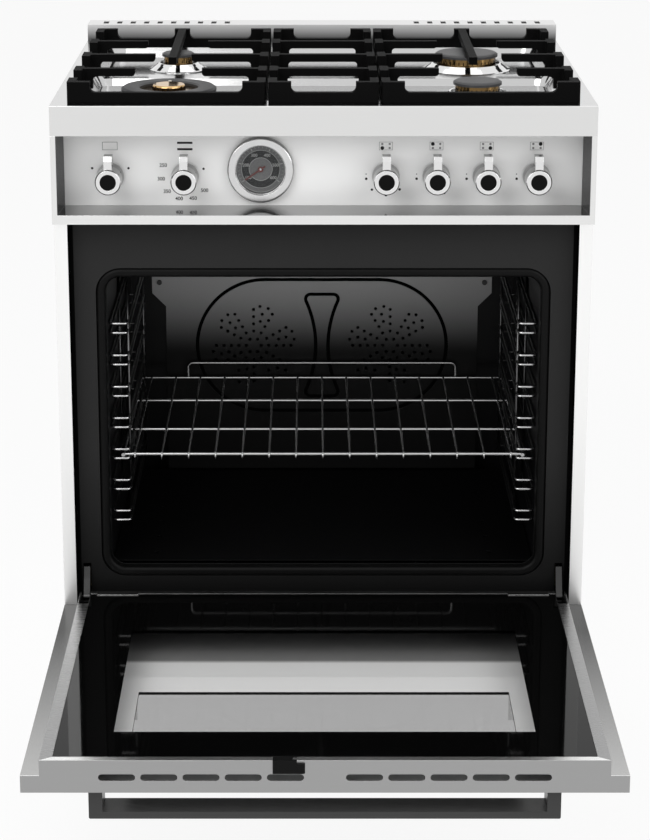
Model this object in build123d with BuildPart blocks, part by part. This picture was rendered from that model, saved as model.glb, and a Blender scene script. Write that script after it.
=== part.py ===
"""Freestanding gas range with its oven door open, built as separate pieces (mm, +Z up).

d counts back from the front plane of the cooktop trim, h up the door from its hinge
and t into the door from its outer face. The door and all else are modelled at rest: door open.
"""
import os
from math import cos, radians, sin

from build123d import *

os.makedirs("parts", exist_ok=True)

# Outer sizes
width = 759.0
cooktop_height = 936.0
depth = 647.0
sheet = 1.2
enamel = 1.5
glass = 4.0

# Clearances
fit = 0.05
slide_gap = 0.3
panel_gap = 0.5
door_gap = 2.0
door_top_gap = 4.0

# Cooktop and backguard
trim_height = 42.4
backguard_depth = 52.0
backguard_rise = 25.0
well_depth = 15.0
well_margin = 41.5
well_front = 42.0
well_back = 518.0
burner_x = 222.0
burner_front = 145.0
burner_back = 400.0
vent_count = 10
vent_pitch = 21.9
vent_first = 154.0
vent_length = 26.0

# Control panel
control_opening = 112.6
ledge_thick = 13.0
fascia_recess = 65.0
cheek_front = 7.5
cheek_back = 12.0
knob_drop = 112.0
gauge_drop = 102.0
gauge_x = -88.8
gauge_radius = 47.0
dial_radius = 36.0
needle_turn = 125.0
knob_x = (-302.0, -196.0, 88.5, 160.0, 231.0, 302.0)
knob_radius = 19.6
ring_radius = 18.2
cap_radius = 11.4
lever_length = 36.5
lever_width = 11.5
stem_radius = 4.0
push_travel = 3.0

# Oven
stile_width = 18.5
mouth_width = 650.0
mouth_low = 226.0
mouth_high = 694.0
mouth_corner = 36.0
gasket_band = 14.0
liner_back = 515.0
burner_box = 48.0
cover_back = 472.0
fan_x = 110.6
fan_height = 456.0
fan_radius = 62.0
cover_hole = 2.6
press_width = 5.5
press_length = 404.0
press_rise = 221.0
waist_rise = 86.0
waist_bend = 8.0
insulation_thick = 27.0

# Rack and ladders
wire = 2.5
rung_wire = 2.0
side_wire = 2.7
rung_low = 303.0
rung_pitch = 47.8
rung_pair = 14.0
rung_count = 7
rung_bend = 7.0
rack_level = 2
rack_half = 293.0
rack_front = 79.0
rack_back = 465.0
wire_pitch = 39.4
wire_count = 15
rail_half = 217.0
rail_rise = 25.0
rail_wire = 2.2
rail_bend = 8.0

# Door
pivot_back = 30.0
pivot_height = 199.0
door_proud = 2.0
door_thick = 44.0
skin_thick = 23.0
door_box_width = 711.0
door_bottom_rise = 9.0
view_width = 514.0
view_low = 250.0
view_high = 483.0
view_overlap = 22.0
end_slot_length = 46.0
end_slot_width = 9.0
hinge_x = 347.0
hinge_arm = 9.0
pin_radius = 4.0
handle_half = 297.0
handle_reach = 46.0
handle_bar = 9.5
handle_depth = 38.0

# Base
base_height = 60.0
kick_top = 160.0
kick_low = 5.0
toe_width = 552.0
toe_height = 65.0
foot_x = 330.0
foot_front = 75.0
foot_back = 560.0
inlet_radius = 10.5

# Grates
grate_bar = 12.0
grate_low = 14.0
grate_high = 29.0
grate_front = 25.0
grate_back = 530.0
grate_side = 357.0
grate_split = 79.0
grate_gap = 4.0
grate_horn = 32.0
grate_web = 8.0
row_horn = 26.0
row_web = 5.0
finger_thick = 11.0
finger_gaps = {"grate_left": (48.0, 27.0, 46.0), "grate_right": (56.0, 44.0, 46.0)}
spine_start = 95.0

# Derived places
half = width / 2
trim_low = cooktop_height - trim_height
ledge_top = trim_low - control_opening
ledge_low = ledge_top - ledge_thick
knob_height = cooktop_height - knob_drop
gauge_height = cooktop_height - gauge_drop
fascia_back = fascia_recess + enamel
door_length = ledge_low - door_top_gap - pivot_height
door_low = pivot_height - pivot_back - door_proud
frame_back = door_thick - door_proud + door_gap
stile_front = skin_thick - door_proud + sheet
frame_half = half - stile_width - panel_gap
box_half = door_box_width / 2
catch_reach = door_top_gap - panel_gap
door_reach = door_length - pivot_back + catch_reach
front_y = (door_reach - depth) / 2
mouth_half = mouth_width / 2
mouth_mid = (mouth_low + mouth_high) / 2
mouth_tall = mouth_high - mouth_low
band_back = frame_back + 13.5
liner_front = band_back + enamel
liner_half = mouth_half - gasket_band
oven_low = mouth_low + gasket_band
oven_top = mouth_high - gasket_band
liner_low = oven_low - burner_box
floor_top = oven_low + 4.0
well_low = cooktop_height - well_depth
backguard_front = depth - backguard_depth
rear_wall = backguard_front + 17.0
rack_height = rung_low + rack_level * rung_pitch + rung_wire + side_wire + slide_gap
rung_out = liner_half - rung_wire
rung_in = rung_out - 25.0


def block(x0, x1, d0, d1, z0, z1, mode=Mode.ADD):
    """A box between two opposite corners."""
    with Locations(((x0 + x1) / 2, front_y + (d0 + d1) / 2, (z0 + z1) / 2)):
        Box(abs(x1 - x0), abs(d1 - d0), abs(z1 - z0), mode=mode)


def slab(x0, x1, h0, h1, t0, t1, mode=Mode.ADD):
    """A box in the open door: h up the door from its pivot, t in from its outer face."""
    block(x0, x1, pivot_back - h1, pivot_back - h0, door_low + t0, door_low + t1, mode)


def rod_x(x0, x1, d, z, radius, mode=Mode.ADD):
    """A round bar along X."""
    with Locations(Location(((x0 + x1) / 2, front_y + d, z), (0, 90, 0))):
        Cylinder(radius, abs(x1 - x0), mode=mode)


def rod_y(x, d0, d1, z, radius, mode=Mode.ADD):
    """A round bar along Y."""
    with Locations(Location((x, front_y + (d0 + d1) / 2, z), (90, 0, 0))):
        Cylinder(radius, abs(d1 - d0), mode=mode)


def rod_z(x, d, z0, z1, radius, mode=Mode.ADD):
    """A round bar along Z."""
    with Locations((x, front_y + d, (z0 + z1) / 2)):
        Cylinder(radius, abs(z1 - z0), mode=mode)


def front_plane(d):
    """A plane facing the viewer, d behind the trim, with X to the right and Y up."""
    return Plane(origin=(0, front_y + d, 0), x_dir=(1, 0, 0), z_dir=(0, -1, 0))


def side_plane(x):
    """A plane across the range at x, drawn in (Y, Z) and extruded toward +X."""
    return Plane(origin=(x, 0, 0), x_dir=(0, 1, 0), z_dir=(1, 0, 0))


def save(piece, name):
    """Label a finished piece and write its STEP file."""
    piece.label = name
    export_step(piece, f"parts/{name}.step")


# Base pan with upturned edges, standing on four feet
base_half = half - sheet - panel_gap
with BuildPart() as base_pan:
    block(-base_half, base_half, stile_front + 30, rear_wall, base_height, base_height + 26)
    block(-base_half + enamel, base_half - enamel, stile_front + 30 + enamel, rear_wall - enamel,
          base_height + enamel, base_height + 30, Mode.SUBTRACT)
save(base_pan.part, "base_pan")

with BuildPart() as leveling_feet:
    for x in (-foot_x, foot_x):
        for d in (foot_front, foot_back):
            rod_z(x, d, 0, 9, 20)
            rod_z(x, d, 9, base_height, 6)
            with BuildSketch(Plane.XY.offset(base_height - 8)) as nut:
                with Locations((x, front_y + d)):
                    RegularPolygon(11, 6)
            extrude(nut.sketch, amount=8)
save(leveling_feet.part, "leveling_feet")

# Side panels: an outer wall with a folded stile at the front
for name, side in (("side_panel_left", -1), ("side_panel_right", 1)):
    with BuildPart() as side_panel:
        outer = side * half
        inner = side * (half - sheet)
        fold = side * (half - stile_width)
        block(inner, outer, stile_front + sheet + panel_gap, rear_wall + sheet, base_height, trim_low)
        block(inner, outer, 0, fascia_recess + 17, ledge_low, trim_low + 1, Mode.SUBTRACT)
        block(fold, outer, stile_front, stile_front + sheet, kick_top + 3, ledge_low)
        block(inner, outer, stile_front, stile_front + 5, kick_top + 3, ledge_low)
        block(fold, fold + side * sheet, stile_front, frame_back + 6, kick_top + 3, ledge_low)
    save(side_panel.part, name)

# Rear panel with louvre slots, the gas pipe's hole and the cord gland's hole
inlet_x = 338.0
inlet_height = knob_height
with BuildPart() as back_panel:
    block(-base_half, base_half, rear_wall, rear_wall + sheet, base_height, trim_low)
    for row in range(5):
        for x in (-200, 0, 200):
            low = trim_low - 95 - 22 * row
            block(x - 60, x + 60, rear_wall - 2, rear_wall + 4, low, low + 6, Mode.SUBTRACT)
    rod_y(inlet_x, rear_wall - 5, rear_wall + 5, inlet_height, inlet_radius + 1.5, Mode.SUBTRACT)
    rod_y(-inlet_x, rear_wall - 12, rear_wall + 12, inlet_height, 13)
    rod_y(-inlet_x, rear_wall - 20, rear_wall + 20, inlet_height, 5, Mode.SUBTRACT)
save(back_panel.part, "back_panel")

# Kick panel with a wide toe opening
with BuildPart() as kick_panel:
    block(-half, half, stile_front, stile_front + sheet, kick_low, kick_top)
    block(-toe_width / 2, toe_width / 2, stile_front - 2, stile_front + 4, 0, toe_height, Mode.SUBTRACT)
    block(-toe_width / 2, toe_width / 2, stile_front, stile_front + 18, toe_height, toe_height + sheet)
    block(-base_half, base_half, stile_front, stile_front + 16, kick_top - sheet, kick_top)
    for side in (-1, 1):
        edge = side * base_half
        block(edge, edge - side * sheet, stile_front, stile_front + 30, kick_low, kick_top)
save(kick_panel.part, "kick_panel")

# Front frame: a flat face stepped back around the oven mouth
slot_half = hinge_arm / 2 + 1.2
with BuildPart() as front_frame:
    block(-frame_half, frame_half, frame_back, frame_back + enamel, kick_top + 5, ledge_low - 1)
    with BuildSketch(front_plane(frame_back)) as step:
        with Locations((0, mouth_mid)):
            RectangleRounded(mouth_width + 2 * enamel, mouth_tall + 2 * enamel, mouth_corner + enamel)
    extrude(step.sketch, amount=-(liner_front - frame_back))
    with BuildSketch(front_plane(frame_back - 1)) as recess:
        with Locations((0, mouth_mid)):
            RectangleRounded(mouth_width, mouth_tall, mouth_corner)
    extrude(recess.sketch, amount=-(band_back - frame_back + 1), mode=Mode.SUBTRACT)
    with BuildSketch(front_plane(frame_back - 1)) as mouth:
        with Locations((0, mouth_mid)):
            RectangleRounded(2 * liner_half, oven_top - oven_low, mouth_corner - gasket_band)
    extrude(mouth.sketch, amount=-40, mode=Mode.SUBTRACT)
    for side in (-1, 1):
        edge = side * hinge_x
        block(edge - slot_half, edge + slot_half, frame_back - 5, frame_back + 5,
              pivot_height - 12, pivot_height + 47, Mode.SUBTRACT)
save(front_frame.part, "front_frame")

# Bulb gasket seated in the step, standing a little proud of the frame
with BuildPart() as door_gasket:
    with BuildSketch(front_plane(band_back)) as ring:
        with Locations((0, mouth_mid)):
            RectangleRounded(mouth_width - 1, mouth_tall - 1, mouth_corner - 0.5)
            RectangleRounded(2 * liner_half + 1, oven_top - oven_low + 1,
                             mouth_corner - gasket_band + 0.5, mode=Mode.SUBTRACT)
    extrude(ring.sketch, amount=band_back - frame_back + door_gap - 0.6)
    rim = door_gasket.faces().sort_by(Axis.Y)[0]
    fillet(rim.edges(), 5.0)
save(door_gasket.part, "door_gasket")

# Oven liner: an enamelled box open to the front, with the burner space below its floor
with BuildPart() as oven_liner:
    block(-liner_half - enamel, liner_half + enamel, liner_front, liner_back + enamel,
          liner_low - enamel, oven_top + enamel)
    block(-liner_half, liner_half, liner_front - 1, liner_back, liner_low, oven_top, Mode.SUBTRACT)
    block(-liner_half, liner_half, liner_front, liner_front + enamel, liner_low, oven_low)
    for x in (-fan_x, fan_x):
        rod_y(x, liner_back - 5, liner_back + 5, fan_height, 12, Mode.SUBTRACT)
save(oven_liner.part, "oven_liner")

with BuildPart() as insulation:
    out = liner_half + enamel + insulation_thick
    block(-out, out, liner_front + 30, liner_back, liner_low, oven_top + enamel + insulation_thick)
    block(-liner_half - enamel, liner_half + enamel, liner_front, liner_back + 5,
          liner_low - 5, oven_top + enamel, Mode.SUBTRACT)
save(insulation.part, "insulation")

# Oven floor plate on folded legs, with a row of holes along each side
floor_half = liner_half - 2
with BuildPart() as oven_floor:
    block(-floor_half, floor_half, liner_front + 3, cover_back - 2, floor_top - enamel, floor_top)
    for side in (-1, 1):
        edge = side * floor_half
        block(edge, edge - side * enamel, liner_front + 3, cover_back - 2, liner_low, floor_top)
    with BuildSketch(Plane.XY.offset(floor_top)) as holes:
        for side in (-1, 1):
            for i in range(6):
                with Locations((side * 248, front_y + 95 + 65 * i)):
                    Circle(4)
    extrude(holes.sketch, amount=-5, mode=Mode.SUBTRACT)
save(oven_floor.part, "oven_floor")

# Bake burner under the floor and broil burner at the ceiling
with BuildPart() as bake_burner:
    pipe_height = liner_low + 21
    for side in (-1, 1):
        rod_y(side * 150, liner_front + 30, liner_back - 40, pipe_height, 11)
        for d in (liner_front + 60, liner_back - 70):
            block(side * 150 - 4, side * 150 + 4, d - 4, d + 4, liner_low, pipe_height)
    rod_x(-150, 150, liner_back - 50, pipe_height, 10)
    rod_y(0, liner_back - 50, liner_back, pipe_height, 9)
save(bake_burner.part, "bake_burner")

with BuildPart() as broil_burner:
    block(-150, 150, 190, 390, oven_top - 26, oven_top)
    block(-138, 138, 202, 378, oven_top - 30, oven_top - 22, Mode.SUBTRACT)
    rod_y(0, 385, liner_back, oven_top - 13, 9)
save(broil_burner.part, "broil_burner")

with BuildPart() as oven_lamp:
    rod_z(230, 300, oven_top - 4, oven_top, 30)
    rod_z(230, 300, oven_top - 16, oven_top - 4, 25)
    fillet(oven_lamp.faces().sort_by(Axis.Z)[0].edges(), 9.0)
save(oven_lamp.part, "oven_lamp")

# Fan cover: a flat sheet with pressed lines and two six-armed groups of holes
cover_top = oven_top - 38
ear_low = fan_height + 88
cover_low = floor_top + 2
cover_sheet = 2.0
with BuildSketch(front_plane(cover_back)) as waist:
    with BuildLine():
        ThreePointArc((-31, fan_height + waist_rise), (-10, fan_height), (-31, fan_height - waist_rise))
        Line((-31, fan_height - waist_rise), (31, fan_height - waist_rise))
        ThreePointArc((31, fan_height - waist_rise), (10, fan_height), (31, fan_height + waist_rise))
        Line((31, fan_height + waist_rise), (-31, fan_height + waist_rise))
    make_face()
    fillet(waist.vertices(), waist_bend)
with BuildPart() as fan_cover:
    with BuildSketch(front_plane(cover_back)) as outline:
        with BuildLine():
            Polyline((-274, cover_top), (274, cover_top), (274, ear_low), (252, ear_low - 22),
                     (252, cover_low), (-252, cover_low), (-252, ear_low - 22), (-274, ear_low),
                     close=True)
        make_face()
    extrude(outline.sketch, amount=-cover_sheet)
    block(-274, 274, cover_back, liner_back, cover_top - enamel, cover_top)
    block(-252, 252, cover_back, liner_back, cover_low, cover_low + enamel)
    with BuildSketch(front_plane(cover_back)) as perforation:
        for side in (-1, 1):
            for arm in range(6):
                spots = [(12.1 * i, 0) for i in range(1, 6)]
                spots += [(12.1 * i, 30) for i in range(2, 6)]
                spots += [(41.7, 15), (54.2, 15), (66.3, 9), (66.3, 21)]
                for reach, turn in spots:
                    angle = radians(60 * arm + turn)
                    with Locations((side * fan_x - side * reach * cos(angle),
                                    fan_height + reach * sin(angle))):
                        Circle(cover_hole)
    extrude(perforation.sketch, amount=-2 * cover_sheet, mode=Mode.SUBTRACT)
    with BuildSketch(front_plane(cover_back)) as pressed:
        with Locations((0, fan_height)):
            SlotOverall(press_length + press_width, press_rise + press_width)
            SlotOverall(press_length - press_width, press_rise - press_width, mode=Mode.SUBTRACT)
        add(offset(waist.sketch_local, amount=press_width / 2, mode=Mode.PRIVATE))
        add(offset(waist.sketch_local, amount=-press_width / 2, mode=Mode.PRIVATE), mode=Mode.SUBTRACT)
    extrude(pressed.sketch, amount=-0.9, mode=Mode.SUBTRACT)
    for side in (-1, 1):
        rod_y(side * 262, cover_back - 2, cover_back + 6, fan_height + 106, 2.5, Mode.SUBTRACT)
save(fan_cover.part, "fan_cover")

with BuildPart() as cover_screws:
    for side in (-1, 1):
        rod_y(side * 262, cover_back - 3, cover_back, fan_height + 106, 4)
        rod_y(side * 262, cover_back, cover_back + 6, fan_height + 106, 2.5)
save(cover_screws.part, "cover_screws")

# Convection fans on shafts that turn in the motors behind the liner
shaft_radius = 5.0
for name, x in (("fan_left", -fan_x), ("fan_right", fan_x)):
    with BuildPart() as fan:
        rod_y(x, liner_back - 9, liner_back - 7, fan_height, fan_radius)
        rod_y(x, liner_back - 31, liner_back - 7, fan_height, 11)
        for blade in range(8):
            angle = 45 * blade
            with Locations(Location((x, front_y + liner_back - 19.5, fan_height), (0, angle, 0))):
                with Locations((fan_radius - 22, 0, 0)):
                    Box(36, 23, 1.5)
        rod_y(x, liner_back - 9, liner_back + 34, fan_height, shaft_radius)
    save(fan.part, name)

with BuildPart() as fan_motors:
    for x in (-fan_x, fan_x):
        rod_y(x, liner_back + enamel, liner_back + 52, fan_height, 36)
        rod_y(x, liner_back - 1, liner_back + 40, fan_height, shaft_radius + fit, Mode.SUBTRACT)
save(fan_motors.part, "fan_motors")

# Chromed side ladders: pairs of long wire loops joined by uprights
ladder_front = 72.0
ladder_back = 421.0
for name, side in (("ladder_left", -1), ("ladder_right", 1)):
    with BuildPart() as ladder:
        for level in range(rung_count):
            low = rung_low + level * rung_pitch
            for z in (low, low + rung_pair):
                mid = (rung_in + rung_out) / 2
                with BuildSketch(Plane.XY.offset(z - rung_wire)) as loop:
                    with Locations((side * mid, front_y + (ladder_front + ladder_back) / 2)):
                        RectangleRounded(rung_out - rung_in + 2 * rung_wire, ladder_back - ladder_front,
                                         rung_bend)
                        RectangleRounded(rung_out - rung_in - 2 * rung_wire,
                                         ladder_back - ladder_front - 4 * rung_wire,
                                         rung_bend - 2 * rung_wire, mode=Mode.SUBTRACT)
                extrude(loop.sketch, amount=2 * rung_wire)
            if level < rung_count - 1:
                for d in (ladder_front + 22, ladder_back - 22):
                    rod_z(side * rung_in, d, low + rung_pair, low + rung_pitch, rung_wire)
        for d in (ladder_front + 20, ladder_back - 20):
            rod_z(side * rung_out, d, rung_low - 16, rung_low + rung_count * rung_pitch + 18, rung_wire)
    save(ladder.part, name)

# Sliding wire rack, flat so that cookware slides over its front
with BuildPart() as oven_rack:
    for d in (rack_front, rack_front + 117, rack_front + 262, rack_back):
        rod_x(-rack_half, rack_half, d, rack_height, wire)
    for side in (-1, 1):
        rod_y(side * rack_half, rack_front - 2 * wire, rack_back + 2 * wire, rack_height, side_wire)
    for i in range(wire_count):
        x = (i - (wire_count - 1) / 2) * wire_pitch
        rod_y(x, rack_front - 6, rack_back, rack_height + 3.0, 1.6)
save(oven_rack.part, "oven_rack")

# Bent rail standing on the rack's back bar
rail_top = rack_height + rail_rise
bend_x = rail_half - rail_bend
with BuildPart() as rack_rail:
    rod_x(-bend_x, bend_x, rack_back, rail_top, rail_wire)
    for side in (-1, 1):
        rod_z(side * rail_half, rack_back, rack_height + wire + fit, rail_top - rail_bend, rail_wire)
        with BuildSketch(side_plane(side * bend_x)) as section:
            with Locations((front_y + rack_back, rail_top)):
                Circle(rail_wire)
        revolve(section.sketch, revolution_arc=90,
                axis=Axis((side * bend_x, front_y + rack_back, rail_top - rail_bend), (0, side, 0)))
save(rack_rail.part, "rack_rail")

# Control surround: a folded ledge with two tapered cheeks
with BuildPart() as control_surround:
    block(-half, half, 0, fascia_back + 15.5, ledge_low, ledge_top)
    block(-half + sheet, half - sheet, sheet, fascia_back + 20, ledge_low + sheet, ledge_top - sheet,
          Mode.SUBTRACT)
    for side in (-1, 1):
        with BuildSketch(Plane.XY.offset(ledge_top)) as cheek:
            with BuildLine():
                Polyline((side * half, front_y), (side * half, front_y + fascia_back + 15.5),
                         (side * (half - cheek_back), front_y + fascia_back + 15.5),
                         (side * (half - cheek_back), front_y + fascia_recess),
                         (side * (half - cheek_front), front_y), close=True)
            make_face()
        extrude(cheek.sketch, amount=control_opening)
save(control_surround.part, "control_surround")

fascia_half = half - cheek_back
with BuildPart() as control_fascia:
    block(-fascia_half, fascia_half, fascia_recess, fascia_back, ledge_top, trim_low + 12)
    for x in knob_x:
        rod_y(x, fascia_recess - 2, fascia_back + 2, knob_height, stem_radius + 2, Mode.SUBTRACT)
    rod_y(gauge_x, fascia_recess - 2, fascia_back + 2, gauge_height, dial_radius + 4, Mode.SUBTRACT)
save(control_fascia.part, "control_fascia")

# Oven thermometer: case with a wide rim, a window and a needle
gauge_front = fascia_recess - 12
with BuildPart() as gauge_case:
    rod_y(gauge_x, gauge_front, fascia_recess, gauge_height, gauge_radius)
    fillet(gauge_case.faces().sort_by(Axis.Y)[0].edges(), 3.0)
    rod_y(gauge_x, fascia_recess, fascia_recess + 28, gauge_height, dial_radius + 4 - fit)
    rod_y(gauge_x, gauge_front - 1, fascia_recess - 1, gauge_height, dial_radius - 1.5, Mode.SUBTRACT)
    rod_y(gauge_x, gauge_front - 1, gauge_front + 4, gauge_height, dial_radius, Mode.SUBTRACT)
    rod_y(gauge_x, gauge_front + 7, fascia_recess, gauge_height, 1.5)
save(gauge_case.part, "gauge_case")

with BuildPart() as gauge_glass:
    rod_y(gauge_x, gauge_front + 2, gauge_front + 4, gauge_height, dial_radius - fit)
save(gauge_glass.part, "gauge_glass")

with BuildPart() as gauge_needle:
    rod_y(gauge_x, gauge_front + 7.5, gauge_front + 9, gauge_height, 4)
    with Locations(Location((gauge_x, front_y + gauge_front + 8.25, gauge_height), (0, -needle_turn, 0))):
        with Locations((0, 0, 9.5)):
            Box(2, 1.5, 35)
    rod_y(gauge_x, gauge_front, fascia_recess, gauge_height, 1.5 + fit, Mode.SUBTRACT)
save(gauge_needle.part, "gauge_needle")

# Gas manifold from the rear inlet round to the valves behind the fascia
manifold_back = fascia_back + 44.0
pipe_radius = 8.0
with BuildPart() as gas_manifold:
    with BuildSketch(Plane((knob_x[1] - 18, front_y + manifold_back, knob_height),
                           x_dir=(0, 1, 0), z_dir=(1, 0, 0))) as bore:
        Circle(pipe_radius)
    with BuildLine() as run:
        FilletPolyline((knob_x[1] - 18, front_y + manifold_back, knob_height),
                       (inlet_x, front_y + manifold_back, knob_height),
                       (inlet_x, front_y + rear_wall - 20, inlet_height), radius=24)
    sweep(bore.sketch, path=run.line)
    rod_y(inlet_x, rear_wall - 22, depth, inlet_height, inlet_radius)
    rod_y(inlet_x, rear_wall - 30, rear_wall - 14, inlet_height, inlet_radius + 4)
save(gas_manifold.part, "gas_manifold")

# Valve bodies in front of the manifold, and the selector switch
valve_back = manifold_back - pipe_radius
with BuildPart() as gas_valves:
    for x in knob_x:
        rod_y(x, fascia_back, fascia_back + 8, knob_height, 10)
        block(x - 14, x + 14, fascia_back + 7, valve_back, knob_height - 15, knob_height + 15)
        rod_y(x, fascia_back - 1, fascia_back + 29, knob_height, stem_radius + fit, Mode.SUBTRACT)
save(gas_valves.part, "gas_valves")

# Valve stems: each slides in its valve when its knob is pushed
knob_back = fascia_recess - 4.5
knob_front = fascia_recess - 48.0
stem_front = knob_front + 14.0
stem_end = fascia_back + 29 - push_travel - 1.0
stem_names = ("stem_oven", "stem_front_left", "stem_rear_left", "stem_front_right", "stem_rear_right")
for name, x in zip(stem_names, knob_x[1:]):
    with BuildPart() as stem:
        rod_y(x, stem_front, stem_end, knob_height, stem_radius)
    save(stem.part, name)

# Knobs: a turned skirt and ring, a pointing lever and a black cap let into the front
knob_names = ("knob_selector", "knob_oven", "knob_front_left", "knob_rear_left",
              "knob_front_right", "knob_rear_right")
for name, x in zip(knob_names, knob_x):
    axis_plane = Plane(origin=(x, front_y + knob_back, knob_height), x_dir=(1, 0, 0), z_dir=(0, -1, 0))
    tall = knob_back - knob_front
    with BuildPart() as knob:
        with BuildSketch(Plane(origin=axis_plane.origin, x_dir=(1, 0, 0), z_dir=(0, 0, 1))) as turned:
            with BuildLine():
                Polyline((0, 0), (knob_radius, 0), (knob_radius, -5), (ring_radius + 0.4, -13),
                         (ring_radius, -16), (ring_radius, -tall + 1.5), (ring_radius - 1.5, -tall),
                         (0, -tall), close=True)
            make_face()
        revolve(turned.sketch, axis=Axis((x, front_y, knob_height), (0, 1, 0)))
        with BuildSketch(side_plane(x - lever_width / 2)) as lever:
            with BuildLine():
                Polyline((front_y + knob_back - 17, knob_height),
                         (front_y + knob_back - 17, knob_height + lever_length - 4),
                         (front_y + knob_back - 21, knob_height + lever_length),
                         (front_y + knob_front + 5, knob_height + lever_length),
                         (front_y + knob_front + 2, knob_height + lever_length - 7),
                         (front_y + knob_front + 2, knob_height), close=True)
            make_face()
        extrude(lever.sketch, amount=lever_width)
        rod_y(x, knob_front - 1, knob_front + 1.6, knob_height, cap_radius, Mode.SUBTRACT)
        if name == "knob_selector":
            rod_y(x, knob_back - 8, stem_end, knob_height, stem_radius)
        else:
            rod_y(x, stem_front, knob_back + 1, knob_height, stem_radius + fit, Mode.SUBTRACT)
        rod_y(x, knob_front + 0.4, knob_front + 1.6, knob_height, cap_radius)
    save(knob.part, name)

# Cooktop: a folded tray with two deep wells and a raised band between them
band_front = (burner_front + burner_back) / 2 - 15
well_half = half - well_margin
with BuildPart() as under_void:
    block(-half + sheet, half - sheet, sheet, backguard_front - sheet, trim_low - 5, cooktop_height - sheet)
    block(-well_half - sheet, well_half + sheet, well_front - sheet, well_back + sheet,
          well_low - sheet, cooktop_height + 5, Mode.SUBTRACT)
with BuildPart() as cooktop:
    block(-half, half, 0, backguard_front, trim_low, cooktop_height)
    fillet(cooktop.edges().filter_by(Axis.X).sort_by(Axis.Y)[:2].sort_by(Axis.Z)[-1:], 0.8)
    add(under_void.part, mode=Mode.SUBTRACT)
    for d0, d1 in ((well_front, band_front), (band_front + 30, well_back)):
        with BuildSketch(Plane.XY.offset(well_low)) as well:
            with Locations((0, front_y + (d0 + d1) / 2)):
                RectangleRounded(2 * well_half - 16, d1 - d0 - 16, 18)
        extrude(well.sketch, amount=well_depth + 0.01, taper=-27, mode=Mode.SUBTRACT)
    block(-well_half, well_half, band_front - 6, band_front + 36, cooktop_height - 5,
          cooktop_height + 5, Mode.SUBTRACT)
    for x, d, r in ((-burner_x, burner_front, 34), (-burner_x, burner_back, 20),
                    (burner_x, burner_back, 34), (burner_x, burner_front, 26)):
        rod_z(x, d, well_low - 20, well_low + 5, r, Mode.SUBTRACT)
save(cooktop.part, "cooktop")

with BuildPart() as backguard:
    block(-half, half, backguard_front, depth, trim_low, cooktop_height + backguard_rise)
    block(-half + sheet, half - sheet, backguard_front + sheet, depth - sheet, trim_low - 5,
          cooktop_height + backguard_rise - sheet, Mode.SUBTRACT)
    for side in (-1, 1):
        for i in range(vent_count):
            x = side * (vent_first + i * vent_pitch)
            block(x - 4.25, x + 4.25, depth - 12 - vent_length, depth - 12, cooktop_height,
                  cooktop_height + backguard_rise + 5, Mode.SUBTRACT)
save(backguard.part, "backguard")

# Burners: place, cup radius, head radius, cap radius and cap top for each
burners = ((-burner_x, burner_back, 45.0, 18.0, 25.0, 12.0),
           (burner_x, burner_back, 68.0, 32.0, 48.0, 12.0),
           (burner_x, burner_front, 52.0, 24.0, 35.0, 12.0))
cup_rise = 11.0
head_band = 14.0
igniter_off = 6.0
igniter_radius = 2.5
crown_radius = 24.0
with BuildPart() as burner_cups:
    for x, d, cup, head, cap, top in burners:
        with BuildSketch(Plane.XZ.offset(-(front_y + d))) as flare:
            with BuildLine():
                Polyline((x + head + fit, well_low), (x + cup, well_low), (x + cup, well_low + 1.5),
                         (x + cup - 3, well_low + 2), (x + cap + 9, well_low + cup_rise - 3),
                         (x + cap + 6, well_low + cup_rise), (x + cap + 3, well_low + cup_rise),
                         (x + cap + 6, well_low + cup_rise - 4), (x + cup - 6, well_low + 2),
                         (x + head + fit, well_low + 2), close=True)
            make_face()
        revolve(flare.sketch, axis=Axis((x, front_y + d, 0), (0, 0, 1)))
        rod_z(x, d + cap + igniter_off, well_low + 2, well_low + 20, igniter_radius + 0.7, Mode.SUBTRACT)
    rod_z(-burner_x, burner_front, well_low, well_low + 3, 66)
    rod_z(-burner_x, burner_front, well_low - 10, well_low + 10, 32 + fit, Mode.SUBTRACT)
save(burner_cups.part, "burner_cups")

with BuildPart() as burner_heads:
    for x, d, cup, head, cap, top in burners:
        under = cooktop_height + top - 6
        rod_z(x, d, well_low - 16, well_low + 8, head)
        with BuildSketch(Plane.XZ.offset(-(front_y + d))) as crown:
            with BuildLine():
                Polyline((x, well_low + 6), (x + head, well_low + 6), (x + cap - 3, under - head_band),
                         (x + cap - 3, under), (x, under), close=True)
            make_face()
        revolve(crown.sketch, axis=Axis((x, front_y + d, 0), (0, 0, 1)))
    rod_z(-burner_x, burner_front, well_low - 16, well_low + 8, 32)
    rod_z(-burner_x, burner_front, well_low + 6, well_low + 12, 64)
    rod_z(-burner_x, burner_front, well_low + 10, well_low + 21, crown_radius)
    fillet(burner_heads.faces().filter_by(Plane.XY).sort_by(
        lambda f: (f.center() - Vector(-burner_x, front_y + burner_front, well_low + 21)).length)[0].edges(), 3.0)
save(burner_heads.part, "burner_heads")

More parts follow.
